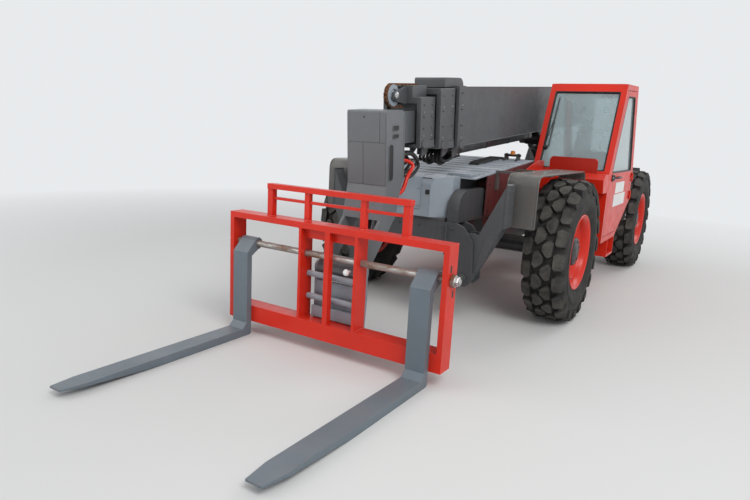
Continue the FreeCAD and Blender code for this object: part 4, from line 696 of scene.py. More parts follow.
def make_tyre(end, side):
    """A tyre: the casing, and on each half of it a row of shoulder blocks and a row of middle blocks."""
    sizes = bpy.context.scene.telehandler_wheels
    centre = wheel_centre(end, side)
    radius = centre[2]
    walls = tyre_walls(centre, SIDES[side], radius, sizes.tyre_width)
    step = TURN / sizes.lugs
    shapes, finish = [walls], [np.zeros(len(walls[1]), int)]
    for row, corners in enumerate(TREAD_BLOCKS):
        block = tread_block(corners, radius, sizes.tyre_width / 2)
        per_block = np.zeros(len(block[1]), int)
        per_block[-1] = 1
        for half_turn in (1.0, -1.0):
            start = step * (0.5 * row + (0.0 if half_turn > 0 else 0.5))
            shapes.append(copies(block, spun(start + step * np.arange(sizes.lugs), centre, half_turn)))
            finish.append(np.tile(per_block, sizes.lugs))
    tyre = build_mesh(f"tyre_dressed_{end}_{side}", *joined(shapes), f"wheel_{end}_{side}",
                      [FINISHES["tyre wall"], FINISHES["tread top"]], 30.0, np.concatenate(finish))
    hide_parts(f"tyre_{end}_{side}")


# Profiles in metres: distance out along the axle, radius
RIM_PROFILE = (
    (-0.158, 0.300), (-0.160, 0.345), (-0.150, 0.349), (-0.146, 0.338), (-0.140, 0.320), (-0.06, 0.312),
    (0.06, 0.312), (0.140, 0.320), (0.147, 0.338), (0.151, 0.350), (0.160, 0.352), (0.165, 0.346),
    (0.162, 0.334), (0.150, 0.322), (0.135, 0.306), (0.10, 0.300), (0.075, 0.292), (0.052, 0.262),
    (0.036, 0.226), (0.034, 0.165), (0.034, 0.075), (0.020, 0.075), (0.016, 0.160), (0.018, 0.230),
    (0.035, 0.268), (0.050, 0.290), (0.045, 0.298), (-0.10, 0.300))
HUB_PROFILE = (
    (-0.068, 0.072), (-0.068, 0.12), (-0.050, 0.132), (0.030, 0.140), (0.050, 0.142), (0.056, 0.136),
    (0.108, 0.132), (0.120, 0.124), (0.126, 0.112), (0.127, 0.066), (0.132, 0.058), (0.133, 0.030), (0.133, 0.002))
NUT_PROFILE = (
    (-0.004, 0.019), (0.004, 0.019), (0.004, 0.015), (0.020, 0.0145), (0.023, 0.011), (0.023, 0.0085),
    (0.036, 0.008), (0.038, 0.005))
NUT_CIRCLE, PLUG_CIRCLE, VALVE_RADIUS = 0.178, 0.092, 0.272


def make_rim(end, side):
    """A rim: one closed profile from the lip through barrel, dish and disc; its hub, nuts and valve."""
    centre = wheel_centre(end, side)
    out = np.array([0.0, SIDES[side], 0.0])
    body = f"wheel_{end}_{side}"
    add_piece(f"rim_dressed_{end}_{side}", body, [("red paint", lathe(RIM_PROFILE, centre, out, 72, True))],
              crease=40.0, replaces=(f"rim_{end}_{side}",))
    count = bpy.context.scene.telehandler_wheels.nuts
    nuts = [placed(place, out, TURN * i / count) for i, place in
            enumerate(around(centre + 0.036 * out, Z_AXIS, X_AXIS, NUT_CIRCLE, count))]
    plugs = around(centre + 0.1265 * out, Z_AXIS, X_AXIS, PLUG_CIRCLE, 5)
    stem = centre - VALVE_RADIUS * Z_AXIS + 0.062 * out
    valve = tube([stem, stem + 0.03 * out + (0, 0, 0.004), stem + 0.055 * out + (0, 0, 0.016)], 0.0045, 8, 3)
    add_piece(f"hub_dressed_{end}_{side}", body, [
        ("black paint", lathe(HUB_PROFILE, centre, out, 48)),
        ("zinc", copies(lathe(NUT_PROFILE, ORIGIN, Z_AXIS, 12), nuts)),
        ("black paint", bolts(plugs, out, washer=False)), ("hose", valve)])


# Cylinders
def pin_eye(place, across, width, radius, hole):
    """Ring of a cylinder's eye around its pin, with chamfered edges."""
    half, edge = width / 2, 0.12 * radius
    return lathe([(-half, hole), (-half, radius - edge), (edge - half, radius), (half - edge, radius),
                  (half, radius - edge), (half, hole)], place, across, 36, True)


def make_cylinder(name, start, end, across, radius, rod_radius, pin, width, retract=0.0):
    """A hydraulic cylinder between two pins: barrel with gland, ports and pipe, and the polished rod."""
    length = np.linalg.norm(end - start)
    along = (end - start) / length
    reach = pin + 0.45 * radius
    gland = length - retract - reach - 0.025
    room, collar = rod_radius + 0.0005, 1.06 * radius
    barrel = [(0.62 * reach, 0.72 * radius), (0.95 * reach, radius), (gland - 0.9 * radius, radius),
              (gland - 0.86 * radius, collar), (gland - 0.2 * radius, collar), (gland - 0.16 * radius, 0.94 * radius),
              (gland, 0.9 * radius), (gland, room), (reach + 0.035, room)]
    rear_port, front_port = (start + along * place + across * 0.97 * radius
                             for place in (reach + 0.06, gland - 0.55 * radius))
    stub = 0.24 * radius
    stubs = [lathe([(-0.2 * stub, stub), (1.1 * stub, stub), (1.3 * stub, 0.8 * stub)], port, across, 12)
             for port in (rear_port, front_port)]
    pipe = [front_port + across * stub, front_port + across * 1.6 * stub - along * stub,
            front_port + across * 1.2 * stub - along * 4 * stub, rear_port + across * 1.2 * stub + along * 6 * stub]
    eyes = [pin_eye(place, across, width, reach, pin + 0.0004) for place in (start, end)]
    body = name.format("barrel")
    add_piece(f"{body}_smooth", body, [("black paint", lathe(barrel, start, along, 36), eyes[0], *stubs),
                                       ("zinc", tube(pipe, 0.4 * stub, 8, 4))], replaces=(body,))
    tail = retract + reach + 0.05
    rod = lathe([(tail, 0.96 * rod_radius), (tail + 0.01, rod_radius), (length - 1.4 * reach, rod_radius),
                 (length - 1.3 * reach, 1.2 * rod_radius), (length - 0.62 * reach, 1.2 * rod_radius)], start, along, 32)
    body = name.format("rod")
    add_piece(f"{body}_smooth", body, [("chrome", rod), ("black paint", eyes[1])], replaces=(body,))


# Places along of the stabilisers' cylinders, which cross each other
LEG_CYLINDER_X = {"left": 0.887, "right": 0.953}


def make_cylinders():
    """The lift, tilt and stabiliser cylinders between their pins."""
    make_cylinder("lift_{}", at(-3.650, 0, 0.900), on_boom(1.600, -0.380), Y_AXIS, 0.095, 0.060, 0.040, 0.200)
    make_cylinder("tilt_{}", at(1.588, 0, 1.500), at(1.870, 0, 0.370), Y_AXIS, 0.045, 0.028, 0.025, 0.100, 0.396)
    for side, hand in SIDES.items():
        x = LEG_CYLINDER_X[side]
        make_cylinder(f"leg_{{}}_{side}", at(x, -0.210 * hand, 0.880), at(x, 0.560 * hand, 0.815), X_AXIS,
                      0.029, 0.018, 0.016, 0.040)


# Boom
SHEAVE = (5.205, 0.195)
CHAIN_STEP = 0.030
CHAIN_REACH = 0.0865
LINK_RADIUS = 0.0085
# Inner sides across of the plates of every first and every second link
LINK_PLATES = ((-0.0125, -0.0055, 0.0055, 0.0095), (-0.0165, -0.0015, 0.0135))


def chain_places():
    """Joints of the chain: along the box, half round the sheave as (sin t, cos t), and back to the boom."""
    s, n = SHEAVE
    straight = s - CHAIN_STEP * np.arange(13, 0, -1)
    turn = np.arange(0.0, math.pi, CHAIN_STEP / CHAIN_REACH)
    back = s - CHAIN_STEP * np.arange(0, 6)
    along = np.concatenate([straight, s + CHAIN_REACH * np.sin(turn), back])
    height = np.concatenate([np.full(13, n + CHAIN_REACH), n + CHAIN_REACH * np.cos(turn),
                             np.full(6, n - CHAIN_REACH)])
    return np.stack([along, height], axis=1)


def make_chain():
    """Grooved sheave, and a leaf chain whose plates lap each other on pins."""
    joints = chain_places()
    half = np.linspace(-math.pi / 2, math.pi / 2, 6)[:, None]
    links = []
    for i, (a, b) in enumerate(zip(joints, joints[1:])):
        way = (b - a) / np.linalg.norm(b - a)
        cap = LINK_RADIUS * (np.cos(half) * way + np.sin(half) * np.array([-way[1], way[0]]))
        links += [slab(np.vstack([b + cap, a - cap]), y, y + 0.003, BOOM_SIDE) for y in LINK_PLATES[i % 2]]
    pins = [lathe([(-0.021, 0.0042), (0.021, 0.0042)], on_boom(s, n), Y_AXIS, 8) for s, n in joints]
    centre = on_boom(*SHEAVE)
    wheel = lathe([(-0.022, 0.084), (-0.0185, 0.0855), (-0.0175, 0.072), (0.0175, 0.072), (0.0185, 0.0855),
                   (0.022, 0.084), (0.022, 0.052), (0.014, 0.048), (0.014, 0.036), (0.0255, 0.032), (0.0255, 0.0183),
                   (-0.0255, 0.0183), (-0.0255, 0.032), (-0.014, 0.036), (-0.014, 0.048), (-0.022, 0.052)],
                  centre, Y_AXIS, 48, True)
    screws = around(centre + 0.0245 * Y_AXIS, BOOM_ALONG, BOOM_UP, 0.026, 6)
    caps = [lathe([(-0.004, 0.028), (0.006, 0.028), (0.010, 0.022), (0.012, 0.010)], centre + side * 0.048 * Y_AXIS,
                  side * Y_AXIS, 24) for side in (-1, 1)]
    add_piece("boom_chain", "boom_section_3", [
        ("chain steel", *links, *pins), ("cover paint", wheel), ("zinc", bolts(screws, Y_AXIS, 0.004, False), *caps)],
        replaces=("chain_sheave",))


# Heads of the boom: body, the collar's ends along the boom, its half width, its lowest and highest n
HEADS = (
    ("boom_base", (4.280, 4.430), 0.222, (-0.272, 0.272)),
    ("boom_section_2", (4.455, 4.750), 0.202, (-0.252, 0.250)),
    ("boom_section_3", (4.775, 5.040), 0.170, (-0.224, 0.182)),
)


def guide_plate(rear, low):
    """Outline of a curved guide under a head: a quarter ring that comes down and forward."""
    t = np.linspace(0, math.pi / 2, 9)
    outer = np.stack([rear + 0.010 + 0.135 * (1 - np.cos(t)), low + 0.030 - 0.110 * np.sin(t)], axis=1)
    inner = np.stack([rear + 0.118 + 0.027 * (1 - np.cos(t)), low + 0.030 - 0.040 * np.sin(t)], axis=1)
    return np.vstack([outer, inner[::-1]])


def make_heads():
    """What each head carries: screws of its wear pads, a flange round its mouth, shoulders and guides below."""
    for body, (rear, front), half, (low, high) in HEADS:
        heights = np.linspace(low + 0.06, high - 0.06, 4)
        rows = (rear + 0.05, front - 0.075)
        screws = bolts([on_boom(s, n, half) for s in rows for n in heights], Y_AXIS)
        lock = bolts([on_boom(s, n + 0.034, half) for s in rows for n in heights[::2]], Y_AXIS, 0.006, False)
        mouth = rectangle((front - 0.030, front - 0.002), (low + 0.01, high - 0.008))
        shoulder = [(rear + 0.015, low + 0.055), (front - 0.036, low + 0.055), (front - 0.036, low + 0.018),
                    (front - 0.075, low - 0.006), (rear + 0.015, low - 0.006)]
        rims = [slab(outline, *sorted((side * (half - sink), side * (half + proud))), BOOM_SIDE)
                for side in (1, -1) for outline, sink, proud in ((mouth, 0.004, 0.007), (shoulder, 0.006, 0.011))]
        guides = [slab(guide_plate(rear, low), y, y + 0.012, BOOM_SIDE) for y in (half - 0.05, 0.038 - half)]
        add_piece(f"{body}_head_gear", body, [("boom paint", *rims, *guides, both(screws)), ("zinc", both(lock))],
                  edge=0.0015)


NOSE_REAR, NOSE_FRONT, NOSE_HALF = 5.300, 5.560, 0.1775
# Limits of the plates on the nose's face: across, square to the boom
NOSE_PLATES = (((-0.168, 0.116), (-0.142, 0.078)), ((0.121, 0.168), (-0.142, 0.078)),
               ((-0.168, -0.032), (-0.462, -0.147)), ((-0.027, 0.168), (-0.462, -0.147)))
# Openings in the nose's sides: middle along and square to the boom, length, height, corner radius
NOSE_OPENINGS = ((5.495, -0.295, 0.060, 0.270, 0.028), (5.430, -0.040, 0.085, 0.036, 0.016),
                 (5.430, -0.100, 0.085, 0.030, 0.014))


def make_nose_panels():
    """Plates on the nose's face with gaps between them, and on its sides a lifting recess and a long slot, each a
    rimmed black plate that stands for its hollow as painted shade.
    """
    panels = [plate(y, n, 0.006, NOSE_FRONT - 0.001, NOSE_FRONT + 0.0035, BOOM_FRONT, 3) for y, n in NOSE_PLATES]
    add_piece("nose_panels", "boom_section_4", [("grey paint", *panels)], 0.0012)
    screw = bolts([on_boom(NOSE_FRONT + 0.003, 0.045, -0.02)], BOOM_ALONG, 0.006, False)
    rims, painted_shade_hollows = [], []
    for s, n, wide, high, radius in NOSE_OPENINGS:
        limits = (s - wide / 2, s + wide / 2), (n - high / 2, n + high / 2)
        corners = [on_boom(a, b, NOSE_HALF) for a, b in rectangle(*limits)]
        rims.append(gasket(corners, Y_AXIS, [(0.0, -0.002), (0.007, -0.002), (0.006, 0.004), (0.001, 0.004)], radius))
        # A black plate nearly flush with the side stands for the shaded hollow: painted shade
        painted_shade_hollows.append(plate(*limits, radius, NOSE_HALF - 0.004, NOSE_HALF + 0.0012, BOOM_SIDE, 4))
    welds = [tube(path_on_boom((NOSE_REAR + 0.002, -0.44, y), (NOSE_REAR + 0.002, 0.05, y)), 0.006, 6, 10)
             for y in (-NOSE_HALF, NOSE_HALF)]
    add_piece("nose_details", "boom_section_4", [("grey paint", both(*rims)), ("black plastic", both(*painted_shade_hollows)),
                                                 ("black paint", screw), ("grey paint", *welds)])


# Bows behind the nose: place across, height of the upper and of the lower end, reach to the rear, sag
HOSE_BOWS = ((-0.115, -0.250, -0.395, 0.36, 0.02), (-0.075, -0.262, -0.412, 0.33, 0.03),
             (-0.02, -0.255, -0.400, 0.39, 0.02), (0.035, -0.265, -0.408, 0.34, 0.03),
             (0.090, -0.250, -0.392, 0.37, 0.02), (0.130, -0.262, -0.415, 0.31, 0.03))


def make_hoses():
    """Short fixed hoses: bows that leave the nose's rear wall and return to it lower down, and a red sleeve."""
    rear = NOSE_REAR
    bows = [tube(path_on_boom(
        (rear + 0.03, start, y), (rear - 0.05, start, y), (rear - depth * 0.7, start - 0.01, y),
        (rear - depth, (start + end) / 2 - drop, y * 1.1), (rear - depth * 0.55, end - drop, y * 1.1),
        (rear - 0.05, end, y), (rear + 0.03, end, y)), 0.0135) for y, start, end, depth, drop in HOSE_BOWS]
    clamps = [slab(rectangle((-0.145, 0.145), (n - 0.018, n + 0.018)), rear - 0.012, rear + 0.002, BOOM_FRONT)
              for n in (-0.256, -0.404)]
    sleeve = tube(path_at((1.520, 0.080, 1.440), (1.420, 0.085, 1.446), (1.320, 0.118, 1.430), (1.300, 0.150, 1.398),
                          (1.350, 0.163, 1.362), (1.405, 0.165, 1.312), (1.436, 0.164, 1.255), (1.462, 0.158, 1.205),
                          (1.520, 0.148, 1.170)), 0.016, 12)
    add_piece("nose_hoses", "boom_section_4", [("hose", *bows), ("zinc", *clamps), ("red paint", sleeve)])


def make_hose_tray():
    """Black tray under the boom's base, put there as painted shade for the dark beneath the boom, with a bundle of
    hoses lying in it, drooping at its front end.
    """
    half = 0.125
    wall = [(-half, -0.262), (half, -0.262), (half, -0.335), (half - 0.02, -0.352), (0.02 - half, -0.352),
            (-half, -0.335)]
    # The tray's black paint fills the dark under the boom: painted shade
    tray = slab(wall, 2.05, 4.24, BOOM_FRONT)
    straps = [slab([(y * 1.03, n - 0.003) for y, n in wall], s, s + 0.03, BOOM_FRONT)
              for s in (2.15, 2.80, 3.45, 4.10)]
    hoses = []
    for i, y in enumerate((-0.098, -0.066, -0.034, 0.0, 0.034, 0.066, 0.098)):
        drop = 0.012 * (i % 3)
        hoses.append(tube(path_on_boom(
            (4.10, -0.372, y), (4.25, -0.376, y), (4.40, -0.392 - drop, y * 1.08), (4.50, -0.372 - drop, y * 1.1),
            (4.47, -0.318, y * 1.05), (4.36, -0.300, y), (4.20, -0.300, y)), 0.0145, 8, 6))
    add_piece("boom_hose_tray", "boom_base", [("black paint", tray, *straps), ("hose", *hoses)])


LINE_CLAMPS = (0.9, 1.6, 2.3, 3.0, 3.7)


def make_boom_lines():
    """Weld beads along the base, and its right-hand oil lines in clamps."""
    beads = [tube(path_on_boom((-0.20, n, y), (4.275, n, y)), 0.005, 6, 24)
             for y in (-0.2095, 0.2095) for n in (-0.2595, 0.2595)]
    add_piece("boom_welds", "boom_base", [("boom paint", *beads)])
    y = -0.228
    lines = [tube(path_on_boom((0.45, n - 0.03, y), (0.75, n, y), (4.05, n, y), (4.20, n - 0.02, y)), 0.009, 8, 10)
             for n in (-0.150, -0.118)]
    clamps = [slab(rectangle((s - 0.02, s + 0.02), (-0.172, -0.096)), -0.243, -0.209, BOOM_SIDE) for s in LINE_CLAMPS]
    screws = bolts([on_boom(s, -0.134, -0.243) for s in LINE_CLAMPS], -Y_AXIS, 0.007, False)
    add_piece("boom_oil_lines", "boom_base", [("zinc", *lines), ("black paint", *clamps), ("zinc", screws)], 0.0015)


def make_pivot_caps():
    """Cap and bolts on each end of the boom's pin."""
    caps, heads = [], []
    for side in (-1, 1):
        face = BOOM_PIVOT + side * 0.330 * Y_AXIS
        caps.append(lathe([(0.0, 0.105), (0.014, 0.105), (0.018, 0.100), (0.018, 0.064), (0.034, 0.060),
                           (0.040, 0.052), (0.042, 0.020)], face, side * Y_AXIS, 40))
        ring = around(face + side * 0.017 * Y_AXIS, X_AXIS, Z_AXIS, 0.084, 8, 0.5)
        heads += [bolts([place], side * Y_AXIS) for place in ring]
    add_piece("boom_pin_caps", "chassis", [("grey paint", *caps), ("zinc", *heads)], 0.001)


# Front of the chassis
def deck_height(x):
    """Height of the deck at a place along it: it rises evenly towards the rear."""
    return 1.3023 + 0.138 * (0.780 - x) / 1.560


def make_deck():
    """Slats on the deck, the strip over the cover's middle, a lid, a socket and the cover's screws."""
    slats = [slab([(x - 0.016, z - 0.002), (x + 0.016, z - 0.002), (x + 0.011, z + 0.007), (x - 0.011, z + 0.007)],
                  -0.455, 0.455) for x, z in ((x, deck_height(x)) for x in np.linspace(0.66, -0.62, 9))]
    add_piece("deck_slats", "chassis", [("cover paint", *slats)], 0.001)
    strip = slab([(1.046, 1.02), (1.046, 1.236), (1.026, 1.286), (0.972, 1.3105), (0.800, 1.3105), (0.800, 1.3165),
                  (0.974, 1.3165), (1.031, 1.290), (1.052, 1.238), (1.052, 1.02)], -0.105, 0.105)
    lid = plate((0.55, 0.745), (0.20, 0.44), 0.02, deck_height(0.65) - 0.006, deck_height(0.55) + 0.010, PLAN_VIEW)
    screws = bolts([at(1.0515, y, z) for y in (-0.085, 0.085) for z in (1.05, 1.20)], X_AXIS)
    top = bolts([at(x, y, 1.3105) for x in (0.82, 0.93) for y in (-0.30, 0.30)], Z_AXIS)
    socket = plate((0.150, 0.190), (1.150, 1.190), 0.008, 1.038, 1.049, FRONT_VIEW)
    add_piece("cover_details", "chassis", [("cover paint", strip, lid, screws), ("zinc", top),
                                           ("black plastic", socket)], 0.0015)


def make_deck_fitting():
    """Two black brackets on the deck's rear with a bar and an amber marker between them, and four hoses."""
    z = deck_height(-0.64)
    brackets = [slab(rounded([(-0.72, z - 0.004), (-0.56, z - 0.004), (-0.61, z + 0.075), (-0.68, z + 0.075)], 0.015),
                     y, y + 0.008) for y in (0.225, 0.355)]
    bar = tube(path_at((-0.645, 0.205, z + 0.055), (-0.645, 0.385, z + 0.055)), 0.014, 10, 6)
    marker = lathe([(0.0, 0.030), (0.006, 0.030), (0.010, 0.026), (0.034, 0.023), (0.042, 0.012)],
                   at(-0.645, 0.295, z + 0.062), Z_AXIS, 24)
    hoses = [tube(path_at(
        (-0.765, y, z + 0.014), (-0.60, y * 1.02, deck_height(-0.60) + 0.022),
        (-0.42, y * 0.98, deck_height(-0.42) + 0.020), (-0.25, y, deck_height(-0.25) + 0.021),
        (-0.12, y * 0.9, deck_height(-0.12) + 0.016), (-0.06, y * 0.9, deck_height(-0.06) - 0.006)), 0.0115, 8)
        for y in (0.06, 0.092, 0.124, 0.156)]
    add_piece("deck_fitting", "chassis", [("black paint", *brackets, bar), ("amber", marker), ("hose", *hoses)])


def make_fender_edges():
    """Rolled edges of the mudguards, and the screws that hold them to their arms."""
    edges = [tube(bent_path(path_at((0.806, y, 0.932), (0.806, y, 1.366), (-0.734, y, 1.366), (-0.734, y, 1.285)),
                            0.090), 0.0085, 8, 1) for y in (0.792, 1.048)]
    edges.append(tube(path_at((0.806, 0.79, 0.934), (0.806, 1.05, 0.934)), 0.0085, 8, 4))
    screws = bolts([at(x, y, 1.3715) for x in (0.28, -0.27) for y in (0.83, 0.93)], Z_AXIS)
    add_piece("fender_edges", "chassis", [("fender paint", both(*edges)), ("zinc", both(screws))])


def make_side_panel_details():
    """Screws and a raised plate on each of the deck's side panels; the plate is in the same darkened red, painted
    shade.
    """
    screws = bolts([at(x, 0.4895, z) for x in (0.44, -0.17, -0.74) for z in (0.99, 1.24)], Y_AXIS)
    raised = plate((-0.52, 0.18), (1.06, 1.20), 0.02, 0.489, 0.494)
    add_piece("side_panel_details", "chassis", [("maroon paint", both(raised)), ("black paint", both(screws))], 0.0015)


def make_leg_gear():
    """Screws and gussets on the plates that hold the stabilisers, their pins' caps and foot plates."""
    front = 0.998 + 0.020
    cap = lathe([(0.0, 0.040), (0.008, 0.040), (0.010, 0.036), (0.010, 0.026), (0.022, 0.024), (0.026, 0.018)],
                at(1.028, 0.540, 0.470), X_AXIS, 32)
    screws = bolts([at(front, y, z) for y, z in ((0.10, 0.88), (0.30, 0.88), (0.42, 0.88), (0.10, 0.73), (0.28, 0.73))],
                   X_AXIS, 0.011)
    gusset = slab(rectangle((0.355, 0.372), (0.650, 0.905)), front - 0.002, front + 0.016, FRONT_VIEW)
    add_piece("leg_house_details", "chassis", [("chassis paint", both(cap, gusset), both(screws))], 0.002)
    arm = slab(rounded([(0.62, 0.52), (0.70, 0.60), (0.80, 0.86), (0.72, 0.86)], 0.03), 0.9885, 0.994, FRONT_VIEW)
    heads = bolts([at(x, 0.871, z) for x in (0.872, 0.968) for z in (0.99, 1.11, 1.23)], Y_AXIS, 0.010)
    for side, shape in zip(SIDES, (joined([arm, heads]), mirrored(joined([arm, heads])))):
        add_piece(f"leg_details_{side}", f"leg_{side}", [("boom paint", shape)], 0.0015)


# Carriage
SHAFT = at(2.160, 0, 0.735)
# Profiles of the washer, nut and thread on each end of the shaft, with their sides
SHAFT_NUTS = (([(-0.001, 0.040), (0.004, 0.040)], 24), ([(0.003, 0.034), (0.020, 0.034), (0.026, 0.029)], 6),
              ([(0.020, 0.019), (0.034, 0.019), (0.037, 0.015)], 20))


def make_carriage_gear():
    """Nuts on the shaft's ends, bars and knob of the quick coupler, and the slots of the side plates."""
    nuts = [lathe(profile, SHAFT + side * 0.991 * Y_AXIS, side * Y_AXIS, sides)
            for side in (-1, 1) for profile, sides in SHAFT_NUTS]
    bars = [tube(path_at((2.128, -0.238, z), (2.128, 0.238, z)), 0.023, 16, 4) for z in (0.575, 0.400)]
    knob = lathe([(0.0, 0.010), (0.030, 0.010), (0.034, 0.020), (0.046, 0.026), (0.060, 0.020), (0.066, 0.008)],
                 at(2.150, 0.156, 0.655), X_AXIS, 24)
    slots = [plate((x - 0.012, x + 0.012), (z - 0.026, z + 0.026), 0.0118, 0.9635, 0.9658)
             for x, z in ((2.185, 0.815), (2.135, 0.640))]
    block = slab(rectangle((-0.20, 0.20), (0.245, 0.330)), 2.092, 2.128, FRONT_VIEW)
    # The coupler's bars and block take the paler cover grey to offset their shade: painted light
    add_piece("carriage_gear", "carriage", [("zinc", *nuts), ("cover paint", *bars, block), ("white patch", knob),
                                            ("black plastic", both(*slots))], 0.0015)


def make_carriage_welds():
    """Weld beads where the carriage's plates meet its beams and where the backrest's posts stand."""
    beads = [tube(path_at((2.095, y, z), (2.231, y, z)), 0.0055, 6, 6)
             for y in (0.924, 0.2625, 0.2375, 0.022) for z in (0.2385, 0.9285)]
    feet = [lathe([(-0.002, 0.034), (0.004, 0.029)], at(2.145, y, 0.975), Z_AXIS, 4) for y in (0.6025, 0.250)]
    add_piece("carriage_welds", "carriage", [("red paint", both(*beads, *feet))])


# Cab
SCREEN_NORMAL = np.array([0.921, 0.0, 0.389])
ROOF_NORMAL = np.array([0.0476, 0.0, 0.9989])
# Corners and outward direction of each fixed pane: windscreen, rear, roof, boom side
CAB_WINDOWS = (
    (path_at((-1.0569, 0.460, 1.370), (-1.0569, 1.165, 1.370), (-1.4141, 1.165, 2.215), (-1.4141, 0.460, 2.215)),
     SCREEN_NORMAL),
    (path_at((-2.4256, 0.460, 1.370), (-2.4256, 1.165, 1.370), (-2.1196, 1.165, 2.220), (-2.1196, 0.460, 2.220)),
     np.array([-0.941, 0.0, 0.339])),
    (path_at((-1.980, 0.460, 2.3252), (-1.540, 0.460, 2.3043), (-1.540, 1.165, 2.3043), (-1.980, 1.165, 2.3252)),
     ROOF_NORMAL),
    (path_at((-1.200, 0.400, 1.370), (-1.530, 0.400, 2.220), (-2.020, 0.400, 2.220), (-2.290, 0.400, 1.370)), -Y_AXIS),
)
DOOR_FACE = 1.225
DOOR_WINDOW = path_at((-1.190, DOOR_FACE, 1.350), (-1.565, DOOR_FACE, 2.180), (-1.965, DOOR_FACE, 2.200),
                      (-2.295, DOOR_FACE, 1.350))
SEAL = ((-0.017, -0.0160), (0.0015, -0.0160), (0.0015, 0.0012), (-0.003, 0.0015), (-0.009, -0.001), (-0.015, -0.011))
SEAL_BEND = 0.035


def make_seals():
    """Rubber seals in the openings of the cab's and the door's windows."""
    fixed = [gasket(corners, normal, SEAL, SEAL_BEND) for corners, normal in CAB_WINDOWS]
    add_piece("cab_seals", "chassis", [("seal", *fixed)], crease=50.0)
    add_piece("door_seal", "cab_door", [("seal", gasket(DOOR_WINDOW, Y_AXIS, SEAL, SEAL_BEND))], crease=50.0)


def on_screen(*rows):
    """Places on the sloping windscreen, from rows of place across, height and distance out of the glass."""
    return np.array([at(-1.040 - 0.410 * (z - 1.330) / 0.970, y, z) + out * SCREEN_NORMAL for y, z, out in rows])


def make_wiper():
    """Wiper on the windscreen: motor cap, sprung arm, and a blade on its carrier."""
    cap = lathe([(-0.004, 0.026), (0.012, 0.024), (0.020, 0.018), (0.030, 0.012)], on_screen((0.490, 1.585, 0.0))[0],
                SCREEN_NORMAL, 20)
    arm = tube(on_screen((0.490, 1.585, 0.024), (0.494, 1.66, 0.030), (0.508, 1.80, 0.024), (0.520, 1.875, 0.014)),
               0.0065, 8, 5)
    carrier = tube(on_screen((0.520, 1.66, 0.002), (0.520, 1.875, 0.011), (0.520, 2.09, 0.002)), 0.0045, 6, 6)
    blade = tube(on_screen((0.520, 1.60, -0.007), (0.520, 2.15, -0.007)), 0.0065, 6)
    add_piece("wiper", "chassis", [("black plastic", cap, arm, carrier, blade)])


def make_door_details():
    """Latch, grab bar, screws and the two blank plates of the door."""
    face = DOOR_FACE
    patches = [plate(x, z, 0.008, face - 0.001, face + 0.0018)
               for x, z in (((-1.970, -1.470), (1.116, 1.238)), ((-2.070, -1.430), (0.968, 1.106)))]
    latch = plate((-1.300, -1.195), (1.262, 1.334), 0.014, face - 0.001, face + 0.010)
    paddle = plate((-1.288, -1.225), (1.276, 1.320), 0.010, face + 0.009, face + 0.021)
    lock = lathe([(0.0, 0.012), (0.004, 0.012), (0.006, 0.008)], at(-1.209, face + 0.009, 1.298), Y_AXIS, 16)
    bar = tube([at(x, face + out, 1.298) for x, out in (
        (-1.345, -0.002), (-1.347, 0.030), (-1.375, 0.041), (-1.450, 0.043), (-1.525, 0.041), (-1.553, 0.030),
        (-1.555, -0.002))], 0.0095, 10, 5)
    screws = bolts([at(-2.33, face + 0.0005, z) for z in (0.75, 0.80, 1.20, 1.25)], Y_AXIS)
    add_piece("door_details", "cab_door", [("white patch", *patches), ("black plastic", latch, paddle, bar),
                                           ("zinc", lock, screws)], 0.0015)


def make_cab_details():
    """Beads and screws of the roof, grips of the step, and the rim and screws of the cowl's upright plate."""
    beads = [tube(path_at((x, 0.43, z), (x, 1.195, z)), 0.004, 8, 10) for x, z in ((-1.50, 2.3025), (-2.03, 2.3277))]
    screws = bolts([at(x, y, z) for x, z in ((-1.475, 2.3014), (-2.055, 2.3289)) for y in (0.50, 0.81, 1.13)],
                   ROOF_NORMAL)
    add_piece("roof_details", "chassis", [("red paint", *beads), ("zinc", screws)])
    grips = [slab([(x - 0.006, 0.599), (x + 0.006, 0.599), (x + 0.003, 0.606), (x - 0.003, 0.606)], 1.095, 1.215)
             for x in np.arange(-1.735, -1.43, 0.028)]
    add_piece("step_grips", "chassis", [("zinc", *grips)])
    heads = bolts([at(-0.899, y, z) for y in (0.67, 1.09) for z in (1.22, 1.46)], X_AXIS)
    rim = gasket([at(-0.8995, y, z) for y, z in rectangle((0.640, 1.120), (1.185, 1.490))], X_AXIS, disc(0.006), 0.02)
    add_piece("cowl_details", "chassis", [("red paint", rim), ("zinc", heads)])


# Seat and controls
def cushion_plan(a, b, half):
    """Places of a and b, from -1 to 1, in a cushion's plan, whose sides pull in between its corners."""
    return half[0] * a * (1 - 0.09 * b ** 4), half[1] * b * (1 - 0.09 * a ** 4)


def cushion(centre, along, across, half, channels, depth):
    """Crowned closed form, sewn into a seam all round.

    Over a square of a and b from -1 to 1, a point lies at a * half length and b * half width, drawn in towards the
    corners, and at a height of (1 - a^6)^0.5 * (1 - b^6)^0.5, less a dip at each channel. The underside is the
    same with less height.
    """
    normal = np.cross(along, across)
    a = np.sin(np.linspace(-1, 1, 37) * math.pi / 2)
    b = np.sin(np.linspace(-1, 1, 57) * math.pi / 2 * 0.98)
    b, a = np.meshgrid(b, a, indexing="ij")
    puff = np.sqrt((1 - a ** 6).clip(0) * (1 - b ** 6).clip(0))
    dips = sum(np.exp(-(((b if way == "along" else a) - place) / 0.05) ** 2) for way, place in channels)
    top = half[2] * puff * (1 + 0.16 * (1 - a ** 2) * (1 - b ** 2)) - depth * dips * puff
    under = -0.55 * half[2] * puff
    plan_a, plan_b = cushion_plan(a, b, half)
    ring_a, ring_b, height = (np.hstack([upper, lower[:, -2:0:-1]])[..., None]
                              for upper, lower in ((plan_a, plan_a), (plan_b, plan_b), (top, under)))
    return closed_grid(centre + ring_a * along + ring_b * across + height * normal, False)


